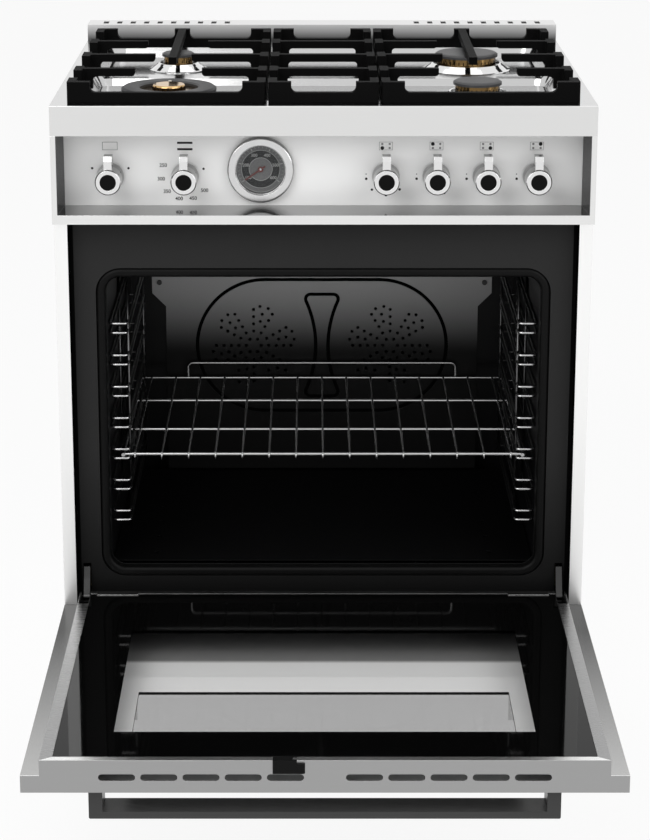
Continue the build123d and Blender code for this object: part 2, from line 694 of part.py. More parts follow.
with BuildPart() as burner_caps:
    for x, d, cup, head, cap, top in burners:
        with BuildSketch(Plane.XZ.offset(-(front_y + d))) as disc:
            with BuildLine():
                under = cooktop_height + top - 6
                Polyline((x, under), (x + cap, under), (x + cap, under + 3.5), (x + cap - 3, under + 5.4),
                         (x + cap - 7, under + 6), (x, under + 6), close=True)
            make_face()
        revolve(disc.sketch, axis=Axis((x, front_y + d, 0), (0, 0, 1)))
    with BuildSketch(Plane.XZ.offset(-(front_y + burner_front))) as annulus:
        with BuildLine():
            base = well_low + 12
            Polyline((-burner_x + 42, base), (-burner_x + 68.5, base), (-burner_x + 68.5, base + 3.5),
                     (-burner_x + 65, base + 6), (-burner_x + 45, base + 6), (-burner_x + 42, base + 4),
                     close=True)
        make_face()
    revolve(annulus.sketch, axis=Axis((-burner_x, front_y + burner_front, 0), (0, 0, 1)))
save(burner_caps.part, "burner_caps")

with BuildPart() as igniters:
    for x, d, cup, head, cap, top in burners:
        rod_z(x, d + cap + igniter_off, well_low + 2, well_low + 20, igniter_radius)
    rod_z(-burner_x, burner_front + crown_radius + igniter_off, well_low + 12, well_low + 21, igniter_radius)
save(igniters.part, "igniters")

# Cast grates: low rails, raised ends and bars, and fingers toward the burners
cross_rows = (burner_front, (burner_front + burner_back) / 2, burner_back)
grate_top = cooktop_height + grate_high
finger_low = grate_top - finger_thick


def grate(x0, x1, burner, gaps):
    """Fill the active part with one grate from x0 to x1; its fingers stop gaps short of x=burner."""
    low = cooktop_height + grate_low
    ends = (grate_front, grate_back - grate_bar)
    for d0 in ends:
        block(x0, x1, d0, d0 + grate_bar, cooktop_height, low)
    for side, edge in ((1, x0), (-1, x1)):
        block(edge, edge + side * grate_bar, grate_front, grate_back, cooktop_height, low)
        for d0 in ends:
            block(edge, edge + side * grate_horn, d0, d0 + grate_bar, cooktop_height, grate_top)
        for d0 in (grate_front, grate_back - 40):
            block(edge, edge + side * grate_bar, d0, d0 + 40, cooktop_height, grate_top)
        for row in cross_rows:
            block(edge, edge + side * grate_bar, row - 20, row + 20, cooktop_height, grate_top)
            block(edge, edge + side * row_horn, row - grate_bar / 2, row + grate_bar / 2, cooktop_height,
                  grate_top)
    for row, gap in zip(cross_rows, gaps):
        runs = ((x0, x1),) if burner is None else ((x0, burner - gap), (burner + gap, x1))
        for left, right in runs:
            block(left, right, row - grate_bar / 2, row + grate_bar / 2, finger_low, grate_top)
    if burner is not None:
        block(burner - grate_bar / 2, burner + grate_bar / 2, burner_front + spine_start, grate_back,
              finger_low, grate_top)
        block(burner - grate_bar, burner + grate_bar, ends[1], grate_back, cooktop_height, grate_top)


def horn_root(edge):
    """True on the inner corner where a raised end meets the low rail."""
    return abs(edge.center().Z - cooktop_height - grate_low) < 0.1 and abs(edge.length - grate_bar) < 0.1


def finger_root(edge):
    """True on the inner corner where a finger leaves the post that carries it."""
    return abs(edge.center().Z - finger_low) < 0.1 and abs(edge.length - grate_bar) < 0.1


grate_sets = (("grate_left", -grate_side, -grate_split - grate_gap / 2, -burner_x),
              ("grate_centre", -grate_split + grate_gap / 2, grate_split - grate_gap / 2, None),
              ("grate_right", grate_split + grate_gap / 2, grate_side, burner_x))
for name, x0, x1, over in grate_sets:
    with BuildPart() as casting:
        grate(x0, x1, over, finger_gaps.get(name, (0, 0, 0)))
        fillet(casting.edges().filter_by(Axis.Y).filter_by(horn_root), grate_web)
        fillet(casting.edges().filter_by(Axis.Y).filter_by(finger_root), row_web)
        fillet(casting.edges().filter_by(Axis.Z).group_by(SortBy.LENGTH)[-1], 3.0)
    save(casting.part, name)

# Hinge arms fixed to the body, reaching out of the frame's slots to the pivot
with BuildPart() as hinge_arms:
    for side in (-1, 1):
        edge = side * hinge_x - hinge_arm / 2
        with BuildSketch(side_plane(edge)) as arm:
            with BuildLine():
                Polyline((front_y + pivot_back - 3, pivot_height - 6),
                         (front_y + pivot_back + 6, pivot_height - 6),
                         (front_y + frame_back + 8, pivot_height + 2),
                         (front_y + frame_back + 30, pivot_height + 2),
                         (front_y + frame_back + 30, pivot_height + 43),
                         (front_y + frame_back - 4, pivot_height + 43),
                         (front_y + pivot_back + 4, pivot_height + 26),
                         (front_y + pivot_back - 5, pivot_height + 4), close=True)
            make_face()
            with Locations((front_y + pivot_back, pivot_height)):
                Circle(8)
                Circle(pin_radius + fit, mode=Mode.SUBTRACT)
        extrude(arm.sketch, amount=hinge_arm)
        wall = side * (frame_half - 2)
        block(side * hinge_x, wall, frame_back + 22, frame_back + 30, pivot_height + 4, pivot_height + 40)
        block(wall, wall - side * 3, frame_back + enamel, frame_back + 30, pivot_height + 4,
              pivot_height + 40)
save(hinge_arms.part, "hinge_arms")

# Hinge channels in the door carry the pins
channel_in = hinge_arm / 2 + 0.7
with BuildPart() as hinge_channels:
    for side in (-1, 1):
        for edge in (-channel_in - 1.5, channel_in):
            x = side * hinge_x + edge
            slab(x, x + 1.5, -7, 150, pivot_back + door_proud - 6, pivot_back + door_proud + 6)
        x = side * hinge_x
        slab(x - channel_in, x + channel_in, 24, 150, pivot_back + door_proud - 6,
             pivot_back + door_proud - 4.5)
        rod_x(x - channel_in - 3, x + channel_in + 3, pivot_back, pivot_height, pin_radius, Mode.SUBTRACT)
save(hinge_channels.part, "hinge_channels")

with BuildPart() as hinge_pins:
    for side in (-1, 1):
        x = side * hinge_x
        rod_x(x - channel_in - 1.5, x + channel_in + 1.5, pivot_back, pivot_height, pin_radius)
save(hinge_pins.part, "hinge_pins")

# Door skin: a folded pan with a window
door_low_end = door_bottom_rise
end_wall = door_length - sheet
with BuildPart() as door_skin:
    slab(-half, half, door_low_end, end_wall, 0, skin_thick)
    slab(-half + sheet, half - sheet, door_low_end + sheet, end_wall + 5, sheet, skin_thick - sheet,
         Mode.SUBTRACT)
    slab(-box_half, box_half, door_low_end - 1, end_wall + 5, skin_thick - 2 * sheet, skin_thick + 5,
         Mode.SUBTRACT)
    slab(-view_width / 2, view_width / 2, view_low, view_high, -5, 5, Mode.SUBTRACT)
save(door_skin.part, "door_skin")

with BuildPart() as door_outer_glass:
    slab(-view_width / 2 - view_overlap, view_width / 2 + view_overlap, view_low - view_overlap,
         view_high + view_overlap, sheet, sheet + glass)
save(door_outer_glass.part, "door_outer_glass")

# Door frame: walls, a slotted end plate, a lip round the inner glass and a shelf under it
lip_side = 16.0
lip_end = 10.0
glass_half = box_half - lip_side - 0.2
glass_low = door_low_end + lip_end + 0.2
glass_high = door_length - lip_end - 0.2
shelf = door_thick - glass - 0.2
slot_pitch = 52.5
slot_first = 49.2
slot_mid = 20.5
with BuildPart() as door_frame:
    slab(-box_half, box_half, door_low_end, door_length, skin_thick - sheet, door_thick)
    slab(-box_half + sheet, box_half - sheet, door_low_end + sheet, end_wall, 0, shelf - sheet,
         Mode.SUBTRACT)
    slab(-glass_half + 12, glass_half - 12, glass_low + 12, glass_high - 12, 0, door_thick + 5,
         Mode.SUBTRACT)
    slab(-glass_half - 0.2, glass_half + 0.2, glass_low - 0.2, glass_high + 0.2, shelf, door_thick + 5,
         Mode.SUBTRACT)
    slab(-half, half, end_wall, door_length, 0, skin_thick)
    for side in (-1, 1):
        for i in range(5):
            x = side * (slot_first + i * slot_pitch)
            with BuildSketch(front_plane(pivot_back - door_length - 2)) as end_slot:
                with Locations((x, door_low + slot_mid)):
                    SlotOverall(end_slot_length, end_slot_width)
            extrude(end_slot.sketch, amount=-(sheet + 4), mode=Mode.SUBTRACT)
        x = side * hinge_x
        slab(x - channel_in - 1.8, x + channel_in + 1.8, -5, 56, skin_thick - 5, door_thick + 5,
             Mode.SUBTRACT)
save(door_frame.part, "door_frame")

with BuildPart() as door_inner_glass:
    slab(-glass_half, glass_half, glass_low, glass_high, shelf, shelf + glass)
save(door_inner_glass.part, "door_inner_glass")

with BuildPart() as glass_clips:
    for side in (-1, 1):
        slab(side * 270, side * 330, glass_low - 8, glass_low + 6, door_thick, door_thick + 0.8)
save(glass_clips.part, "glass_clips")

# Door catch over the free edge, and the handle on the outer face
with BuildPart() as door_catch:
    slab(-65, -35, door_length, door_length + catch_reach - 0.2, 27, door_thick)
    slab(-65, -35, door_length - lip_end, door_length + catch_reach - 0.2, door_thick, door_thick + 1)
    slab(-35, -28, door_length, door_length + catch_reach - 0.2, 27, 40)
    rod_z(-28, pivot_back - door_length - 0.0, door_low + 27, door_low + 40, catch_reach - 0.2)
    slab(-40, -20, door_length - 8, door_length, 20, door_thick + 5, Mode.SUBTRACT)
save(door_catch.part, "door_catch")

handle_top = door_length - 20.0
with BuildPart() as door_handle:
    slab(-handle_half, handle_half, handle_top - handle_depth, handle_top, -handle_reach, 0)
    slab(-handle_half + 17.5, handle_half - 17.5, handle_top - handle_depth - 5, handle_top + 5,
         -handle_reach + handle_bar, 5, Mode.SUBTRACT)
    fillet(door_handle.edges().filter_by(Axis.Y).sort_by(Axis.Z)[:2], 2.0)
save(door_handle.part, "door_handle")
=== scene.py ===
"""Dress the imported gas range: finishes, printed marks, small trim, studio and camera."""

import logging
import math
from dataclasses import dataclass, field
from enum import Enum
from typing import Callable, Optional, Sequence, Union

import bmesh
import bpy
from mathutils import Matrix, Vector


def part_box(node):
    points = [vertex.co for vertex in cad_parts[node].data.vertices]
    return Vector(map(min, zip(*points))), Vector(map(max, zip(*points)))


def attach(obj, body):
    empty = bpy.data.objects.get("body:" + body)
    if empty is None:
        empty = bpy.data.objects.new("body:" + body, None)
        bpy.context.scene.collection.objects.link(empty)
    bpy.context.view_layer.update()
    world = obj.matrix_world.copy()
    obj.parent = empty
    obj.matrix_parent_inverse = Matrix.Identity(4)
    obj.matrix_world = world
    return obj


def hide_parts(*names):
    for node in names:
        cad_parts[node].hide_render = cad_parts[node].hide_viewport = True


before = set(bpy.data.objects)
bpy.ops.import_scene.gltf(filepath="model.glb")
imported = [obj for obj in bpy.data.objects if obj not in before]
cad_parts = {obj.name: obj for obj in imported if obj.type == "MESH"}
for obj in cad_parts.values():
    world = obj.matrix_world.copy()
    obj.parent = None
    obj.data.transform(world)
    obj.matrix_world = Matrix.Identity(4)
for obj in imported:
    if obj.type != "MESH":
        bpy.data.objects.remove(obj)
LOG = logging.getLogger("range")
SQUARE = 0.9  # a face looks along an axis when its normal's share of that axis is above this
LEANING = 0.5  # and it leans that way when the share is above this
WHITE = (1.0, 1.0, 1.0, 1.0)
EVENLY = (1.0, 1.0, 1.0)  # noise that isn't stretched
SIDES = (-1, 1)  # left and right, or lower and upper
Point = tuple[float, float]
Triple = tuple[float, float, float]
FaceTest = Callable[[Vector, Vector], bool]


class Grain(Enum):
    """Stretch of a sheet's noise, by the direction in which it was brushed."""

    ALONG_X = (6.0, 900.0, 900.0)
    ALONG_Y = (900.0, 6.0, 900.0)
    NONE = (60.0, 60.0, 60.0)


class Axis(Enum):
    """An axis of the row frame."""

    X = "X"
    Y = "Y"
    Z = "Z"


class Ease(Enum):
    """How a tone runs between its two ends."""

    EVEN = "LINEAR"
    SOFT = "SMOOTHSTEP"


class Facing(Enum):
    """Side toward which a turned piece stands out, as a sign along Y."""

    FRONT = -1
    REAR = 1


@dataclass(frozen=True)
class Fade:
    """A change of tone along an axis, which paints shade: low at the start, full at the end."""

    axis: Axis
    start: float
    end: float
    low: float
    ease: Ease = Ease.EVEN


class Signal:
    """A shader socket with Python arithmetic on it."""

    def __init__(self, shader: "Shader", socket: bpy.types.NodeSocket) -> None:
        """Keep the socket and the shader it belongs to."""
        self.shader = shader
        self.socket = socket

    def _math(self, operation: str, first: object, second: object) -> "Signal":
        """Add one Math node, fed with numbers or signals."""
        return self.shader.node("ShaderNodeMath", {"operation": operation}, {0: first, 1: second})

    def __add__(self, other: object) -> "Signal":
        """Signal plus other."""
        return self._math("ADD", self, other)

    __radd__ = __add__

    def __sub__(self, other: object) -> "Signal":
        """Signal minus other."""
        return self._math("SUBTRACT", self, other)

    def __rsub__(self, other: object) -> "Signal":
        """Other minus signal."""
        return self._math("SUBTRACT", other, self)

    def __mul__(self, other: object) -> "Signal":
        """Signal times other."""
        return self._math("MULTIPLY", self, other)

    __rmul__ = __mul__

    def below(self, edge: object) -> "Signal":
        """One where the signal is below the edge."""
        return self._math("LESS_THAN", self, edge)

    def either(self, other: object) -> "Signal":
        """The larger of two signals, which joins two flags."""
        return self._math("MAXIMUM", self, other)

    def size(self) -> "Signal":
        """Absolute value."""
        return self._math("ABSOLUTE", self, 0.0)


class Shader:
    """A material's node tree, or the world's, with one way of adding nodes."""

    BUMP_DEPTH = 0.001
    BEVEL_SAMPLES = 6
    MIX_LOW, MIX_HIGH, MIX_RESULT = 6, 7, 2  # the Mix node's colour sockets, which share their names

    def __init__(self, tree: bpy.types.NodeTree) -> None:
        """Start from an empty tree."""
        self.tree = tree
        tree.nodes.clear()

    @classmethod
    def material(cls, name: str) -> tuple[bpy.types.Material, "Shader"]:
        """Make a new material.

        Args:
            name: material name.

        Returns:
            The material and its empty shader.
        """
        made = bpy.data.materials.new(name)
        made.use_nodes = True
        return made, cls(made.node_tree)

    def add(self, kind: str, settings: Optional[dict] = None,
            inputs: Optional[dict] = None) -> bpy.types.Node:
        """Add a node of any kind.

        Args:
            kind: Blender's node type.
            settings: attributes of the node, set first.
            inputs: values or signals by socket name or number.

        Returns:
            The new node.
        """
        made = self.tree.nodes.new(kind)
        for key, value in (settings or {}).items():
            setattr(made, key, value)
        for key, value in (inputs or {}).items():
            if isinstance(value, Signal):
                self.tree.links.new(value.socket, made.inputs[key])
            else:
                made.inputs[key].default_value = value
        return made

    def node(self, kind: str, settings: Optional[dict] = None, inputs: Optional[dict] = None,
             output: Union[int, str] = 0) -> Signal:
        """Add a node and give one of its outputs, by name or number."""
        return Signal(self, self.add(kind, settings, inputs).outputs[output])

    def place(self) -> Signal:
        """Object coordinates in metres, which are the row frame's at rest."""
        return self.node("ShaderNodeTexCoord", output="Object")

    def along(self, axis: Axis) -> Signal:
        """One object coordinate in metres."""
        return self.node("ShaderNodeSeparateXYZ", inputs={0: self.place()}, output=axis.value)

    def noise(self, stretch: Triple, scale: float, detail: float) -> Signal:
        """Stretched noise between 0 and 1."""
        moved = self.node("ShaderNodeMapping", inputs={"Vector": self.place(), "Scale": stretch})
        return self.node("ShaderNodeTexNoise", inputs={"Vector": moved, "Scale": scale, "Detail": detail})

    def normal(self, height: Signal, strength: float, edge: float) -> Signal:
        """A bumped normal over softly rounded edges.

        Args:
            height: bump height.
            strength: bump strength.
            edge: radius of the rounded edges in metres, or 0 for sharp ones.

        Returns:
            The normal to feed to a shader.
        """
        inputs: dict = {"Height": height, "Strength": strength, "Distance": self.BUMP_DEPTH}
        if edge:
            settings = {"samples": self.BEVEL_SAMPLES}
            inputs["Normal"] = self.node("ShaderNodeBevel", settings, {"Radius": edge})
        return self.node("ShaderNodeBump", inputs=inputs)

    def surface(self, **inputs: object) -> Signal:
        """Principled shader, with underscores for spaces in socket names."""
        named = {key.replace("_", " "): value for key, value in inputs.items()}
        return self.node("ShaderNodeBsdfPrincipled", inputs=named)

    def close(self, shader: Signal, kind: str = "ShaderNodeOutputMaterial") -> None:
        """Link a shader to the output."""
        self.add(kind, inputs={"Surface": shader})

    def blend(self, factor: object, low: object, high: object) -> Signal:
        """Mix two colours.

        Args:
            factor: 0 for the low colour, 1 for the high one.
            low: signal or three numbers.
            high: signal or three numbers.

        Returns:
            The mixed colour.
        """
        low, high = (end if isinstance(end, Signal) else (*end, 1.0) for end in (low, high))
        ends = {"Factor": factor, self.MIX_LOW: low, self.MIX_HIGH: high}
        return self.node("ShaderNodeMix", {"data_type": "RGBA"}, ends, self.MIX_RESULT)

    def faded(self, colour: Signal, fade: Optional[Fade]) -> Signal:
        """Dim a colour along one axis, as painted shade.

        Args:
            colour: colour to dim.
            fade: where and how far, or none to leave the colour alone.

        Returns:
            The dimmed colour.
        """
        if fade is None:
            return colour
        factor = self.node("ShaderNodeMapRange", {"interpolation_type": fade.ease.value}, {
            "Value": self.along(fade.axis), "From Min": fade.start, "From Max": fade.end,
            "To Min": fade.low, "To Max": 1.0})
        return self.node("ShaderNodeVectorMath", {"operation": "SCALE"}, {0: colour, "Scale": factor})


def grey(level: float, tint: float = 0.0) -> Triple:
    """A neutral colour, with a little blue added or taken away."""
    return (level, level, level + tint)


@dataclass(frozen=True)
class Metal:
    """A bare metal finish with brushing or mottling."""

    CLOUD_STRETCH = (4.0, 4.0, 4.0)
    CLOUD_SHARE = 0.6  # how much the broad noise moves the roughness, beside the brushing

    name: str
    colour: Triple
    shade: Triple
    roughness: float
    spread: float
    grain: Grain
    bump: float
    edge: float = 0.0006
    metallic: float = 1.0
    fade: Optional[Fade] = None

    def make(self) -> bpy.types.Material:
        """Build the material.

        Returns:
            The material.
        """
        made, shader = Shader.material(self.name)
        streak = shader.noise(self.grain.value, scale=1.0, detail=4.0)
        cloud = shader.noise(self.CLOUD_STRETCH, scale=1.0, detail=2.0)
        colour = shader.faded(shader.blend(streak * 0.5 + cloud * 0.5, self.shade, self.colour), self.fade)
        # Noise averages a half, so taking half of both spreads off keeps the mean at the given roughness.
        least = self.roughness - self.spread * (1 + self.CLOUD_SHARE) / 2
        rough = streak * self.spread + cloud * (self.spread * self.CLOUD_SHARE) + least
        shader.close(shader.surface(Base_Color=colour, Metallic=self.metallic, Roughness=rough,
                                    Normal=shader.normal(streak, self.bump, self.edge)))
        return made


@dataclass(frozen=True)
class Coating:
    """Enamel, paint, rubber or cast surface with its own texture."""

    FINE_SHARE = 0.4  # how much of the change of colour is fine
    BROAD_PITCH = 9.0

    name: str
    colour: Triple
    shade: Triple
    roughness: float
    spread: float = 0.06
    pitch: float = 900.0
    bump: float = 0.1
    edge: float = 0.0006
    gloss: float = 0.5
    fade: Optional[Fade] = None

    def make(self) -> bpy.types.Material:
        """Build the material.

        Returns:
            The material.
        """
        made, shader = Shader.material(self.name)
        fine = shader.noise(EVENLY, self.pitch, detail=2.0)
        broad = shader.noise(EVENLY, self.BROAD_PITCH, detail=3.0)
        mottle = fine * self.FINE_SHARE + broad * (1.0 - self.FINE_SHARE)
        colour = shader.faded(shader.blend(mottle, self.shade, self.colour), self.fade)
        # The two noises average a half each, so the mean stays at the given roughness.
        rough = broad * self.spread + fine * self.spread + (self.roughness - self.spread)
        shader.close(shader.surface(Base_Color=colour, Roughness=rough, Specular_IOR_Level=self.gloss,
                                    Normal=shader.normal(fine, self.bump, self.edge)))
        return made


@dataclass(frozen=True)
class Pane:
    """Glass, with a border printed round a window where one is given.

    The window is its half width, the middle of its length along Y, and its half length.
    """

    IOR = 1.5
    SMEAR_PITCH = 14.0
    SMEAR_TONE = 1.3  # how much paler a smear makes the glass
    CLEAN, SMEARED = 0.015, 0.05  # roughness of clean glass, and what a smear adds

    name: str
    colour: Triple
    cover: float
    window: Optional[Triple] = None
    border: Triple = grey(0.002)
    gloss: float = 0.5

    def make(self) -> bpy.types.Material:
        """Build the material.

        Returns:
            The material.
        """
        made, shader = Shader.material(self.name)
        smear = shader.noise(EVENLY, self.SMEAR_PITCH, detail=4.0)
        rough = smear * self.SMEARED + self.CLEAN
        alpha: object = self.cover
        colour: object = shader.blend(smear, self.colour, tuple(c * self.SMEAR_TONE for c in self.colour))
        if self.window:
            half, middle, reach = self.window
            across = shader.along(Axis.X)
            along = shader.along(Axis.Y)
            inside = across.size().below(half) * (along - middle).size().below(reach)
            alpha = 1.0 - inside * (1.0 - self.cover)
            colour = shader.blend(inside, self.border, colour)
        shader.close(shader.surface(Base_Color=colour, Roughness=rough, Alpha=alpha, IOR=self.IOR,
                                    Specular_IOR_Level=self.gloss))
        return made


Dressing = Union[Metal, Coating, Pane]


class Finish:
    """The range's finishes, each made once."""

    brushed = Metal("brushed_stainless", grey(0.735, -0.005), grey(0.715, -0.005), 0.3, 0.05,
                    Grain.ALONG_X, 0.007)
    # Painted light: the recessed fascia is near white and little metallic, brighter than its stainless, so
    # it reads evenly lit under the trim's shade.
    fascia = Metal("fascia_painted_light", grey(0.985, -0.005), grey(0.97, -0.005), 0.35, 0.05,
                   Grain.ALONG_X, 0.006, metallic=0.2)
    side = Metal("side_stainless", grey(0.96, -0.005), grey(0.93, -0.005), 0.3, 0.06, Grain.ALONG_Y, 0.012)
    hob = Metal("hob_stainless", grey(0.60), grey(0.55), 0.12, 0.05, Grain.ALONG_X, 0.006)
    # Painted shade: the backguard's front is darkened towards its foot.
    guard_shade = Metal("guard_painted_shade", grey(0.80), grey(0.76), 0.4, 0.05, Grain.ALONG_X, 0.006, metallic=0.3,
                  fade=Fade(Axis.Z, 0.938, 0.968, 0.08))
    # Painted shade: the door frame and its end plate are darker copies of the stainless; the edge is a
    # lighter copy, a painted highlight.
    door = Metal("door_frame_painted_shade", grey(0.38), grey(0.335), 0.27, 0.07, Grain.ALONG_X, 0.01)
    plate = Metal("end_plate_painted_shade", grey(0.36), grey(0.34), 0.3, 0.06, Grain.ALONG_X, 0.008)
    edge = Metal("edge_painted_highlight", grey(0.95, -0.005), grey(0.90, -0.005), 0.25, 0.05, Grain.ALONG_X, 0.006)
    skin = Metal("skin_stainless", grey(0.74, -0.005), grey(0.68, -0.005), 0.27, 0.07, Grain.ALONG_X, 0.015)
    polished = Metal("polished_ledge", grey(0.82, -0.005), grey(0.78, -0.005), 0.09, 0.04,
                     Grain.ALONG_X, 0.006)
    # Painted shade: a dark copy of the polished steel, for faces that mirror dark recesses.
    shade = Metal("painted_shade_polished", grey(0.20), grey(0.16), 0.08, 0.04, Grain.NONE, 0.006)
    # Painted shade: near-black steel standing in for the dark reflection on the side panels' inward faces.
    return_shade = Metal("painted_return_shade", grey(0.075, 0.002), grey(0.05, 0.002), 0.18, 0.05, Grain.NONE, 0.01)
    chrome = Metal("chrome", grey(0.80), grey(0.72), 0.09, 0.05, Grain.NONE, 0.01)
    rim = Metal("gauge_rim", grey(0.72), grey(0.60), 0.16, 0.08, Grain.NONE, 0.02, edge=0.001)
    wires = Metal("chromed_wire", grey(0.58), grey(0.46), 0.24, 0.06, Grain.NONE, 0.01, edge=0.0)
    # Painted shade: a dark copy of the chromed wire for wires in the oven's shade.
    wires_in_painted_shade = Metal("painted_shade_wire", grey(0.12), grey(0.07), 0.3, 0.06, Grain.NONE, 0.01, edge=0.0)
    zinc = Metal("zinc_sheet", (0.58, 0.59, 0.60), (0.42, 0.43, 0.45), 0.42, 0.12, Grain.NONE, 0.05)
    steel = Metal("plain_steel", grey(0.52), grey(0.40), 0.35, 0.1, Grain.NONE, 0.04)
    hinge = Metal("hinge_steel", grey(0.07), grey(0.03), 0.22, 0.1, Grain.NONE, 0.06)
    brass = Metal("burner_brass", (0.36, 0.235, 0.095), (0.17, 0.10, 0.04), 0.14, 0.1, Grain.NONE, 0.04)
    # Painted highlight: a lighter copy of the burner brass for the lit inner crown.
    crown = Metal("crown_painted_highlight", (0.74, 0.50, 0.26), (0.46, 0.29, 0.12), 0.14, 0.1, Grain.NONE, 0.04)
    # Painted shade: the frame's black enamel darkens towards the bottom.
    shaded_enamel = Coating("black_enamel", grey(0.026), grey(0.022), 0.4, 0.05, 1400.0, 0.03, 0.001, gloss=0.06,
                     fade=Fade(Axis.Z, 0.19, 0.42, 0.2))
    liner = Coating("oven_enamel", grey(0.005, 0.0005), grey(0.003, 0.0005), 0.3, 0.06, 1100.0, 0.04, 0.001,
                    gloss=0.2)
    hearth = Coating("oven_floor_enamel", grey(0.0025, 0.0002), grey(0.0015, 0.0001), 0.36, 0.06, 1100.0,
                     0.04, 0.001, gloss=0.08)
    # Painted light and shade: the fan cover is lighter at the top and fades to near black lower down.
    cover = Coating("fan_cover_painted_shade", grey(0.65, 0.002), grey(0.59, 0.002), 0.3, 0.05, 1100.0, 0.02,
                    gloss=0.1, fade=Fade(Axis.Z, 0.44, 0.585, 0.01, Ease.SOFT))
    # Painted reflection: near black for the polished cheeks of the control recess, which mirror the dark.
    cheek_shade = Coating("painted_cheek_reflection", grey(0.014, 0.001), grey(0.008, 0.001), 0.25, gloss=0.05)
    # Painted light: a bright sheet for the lit area seen through the door window, with painted shade towards
    # the hinge end.
    lining = Coating("door_lining_painted_light", grey(0.82, -0.005), grey(0.76, -0.005), 0.5, 0.05, 900.0, 0.02,
                     fade=Fade(Axis.Y, -0.186, -0.196, 0.25))
    # Painted shade: black for hollows, gaps and ports, where only shade is seen.
    black_shade = Coating("painted_black_shade", grey(0.002), grey(0.001), 0.6, gloss=0.02)
    iron = Coating("cast_iron", grey(0.0040), grey(0.0015), 0.6, 0.12, 700.0, 0.35, 0.0015, gloss=0.03)
    cap = Coating("cap_enamel", grey(0.036, 0.002), grey(0.022, 0.001), 0.48, 0.1, 900.0, 0.2, 0.001)
    paint = Coating("satin_black", grey(0.034), grey(0.027), 0.32, 0.06, 1500.0, 0.05, 0.001, gloss=0.4)
    button = Coating("knob_cap_black", grey(0.006), grey(0.003), 0.4, 0.06, 1500.0, 0.04, 0.0005, gloss=0.05)
    plastic = Coating("black_plastic", grey(0.004), grey(0.002), 0.45, 0.08, 2200.0, 0.2, gloss=0.1)
    rubber = Coating("gasket_rubber", grey(0.003), grey(0.0015), 0.45, 0.08, 1200.0, 0.1, 0.001, gloss=0.1)
    wool = Coating("mineral_wool", (0.60, 0.54, 0.36), (0.42, 0.37, 0.24), 0.95, 0.05, 350.0, 1.0)
    ceramic = Coating("igniter_ceramic", (0.75, 0.74, 0.70), (0.62, 0.61, 0.57), 0.3)
    mark = Coating("printed_mark", grey(0.010, 0.001), grey(0.006, 0.001), 0.5, gloss=0.2)
    faint = Coating("printed_outline", grey(0.30), grey(0.26), 0.5)
    pale = Coating("dial_print", grey(0.55, -0.01), grey(0.47, -0.01), 0.5)
    dial = Coating("dial_face", grey(0.20, 0.002), grey(0.165, 0.002), 0.4, gloss=0.2)
    band = Coating("dial_band", grey(0.022, 0.001), grey(0.014, 0.001), 0.4, gloss=0.2)
    needle = Coating("needle_red", (0.17, 0.025, 0.022), (0.12, 0.016, 0.014), 0.4)
    lens = Pane("lamp_lens", (0.75, 0.73, 0.66), 0.75)
    glass = Pane("clear_glass", (0.10, 0.11, 0.11), 0.10)

    _made: dict[str, bpy.types.Material] = {}

    @classmethod
    def get(cls, finish: Dressing) -> bpy.types.Material:
        """Material of a finish, built the first time.

        Args:
            finish: the finish.

        Returns:
            Its material.
        """
        if finish.name not in cls._made:
            cls._made[finish.name] = finish.make()
        return cls._made[finish.name]


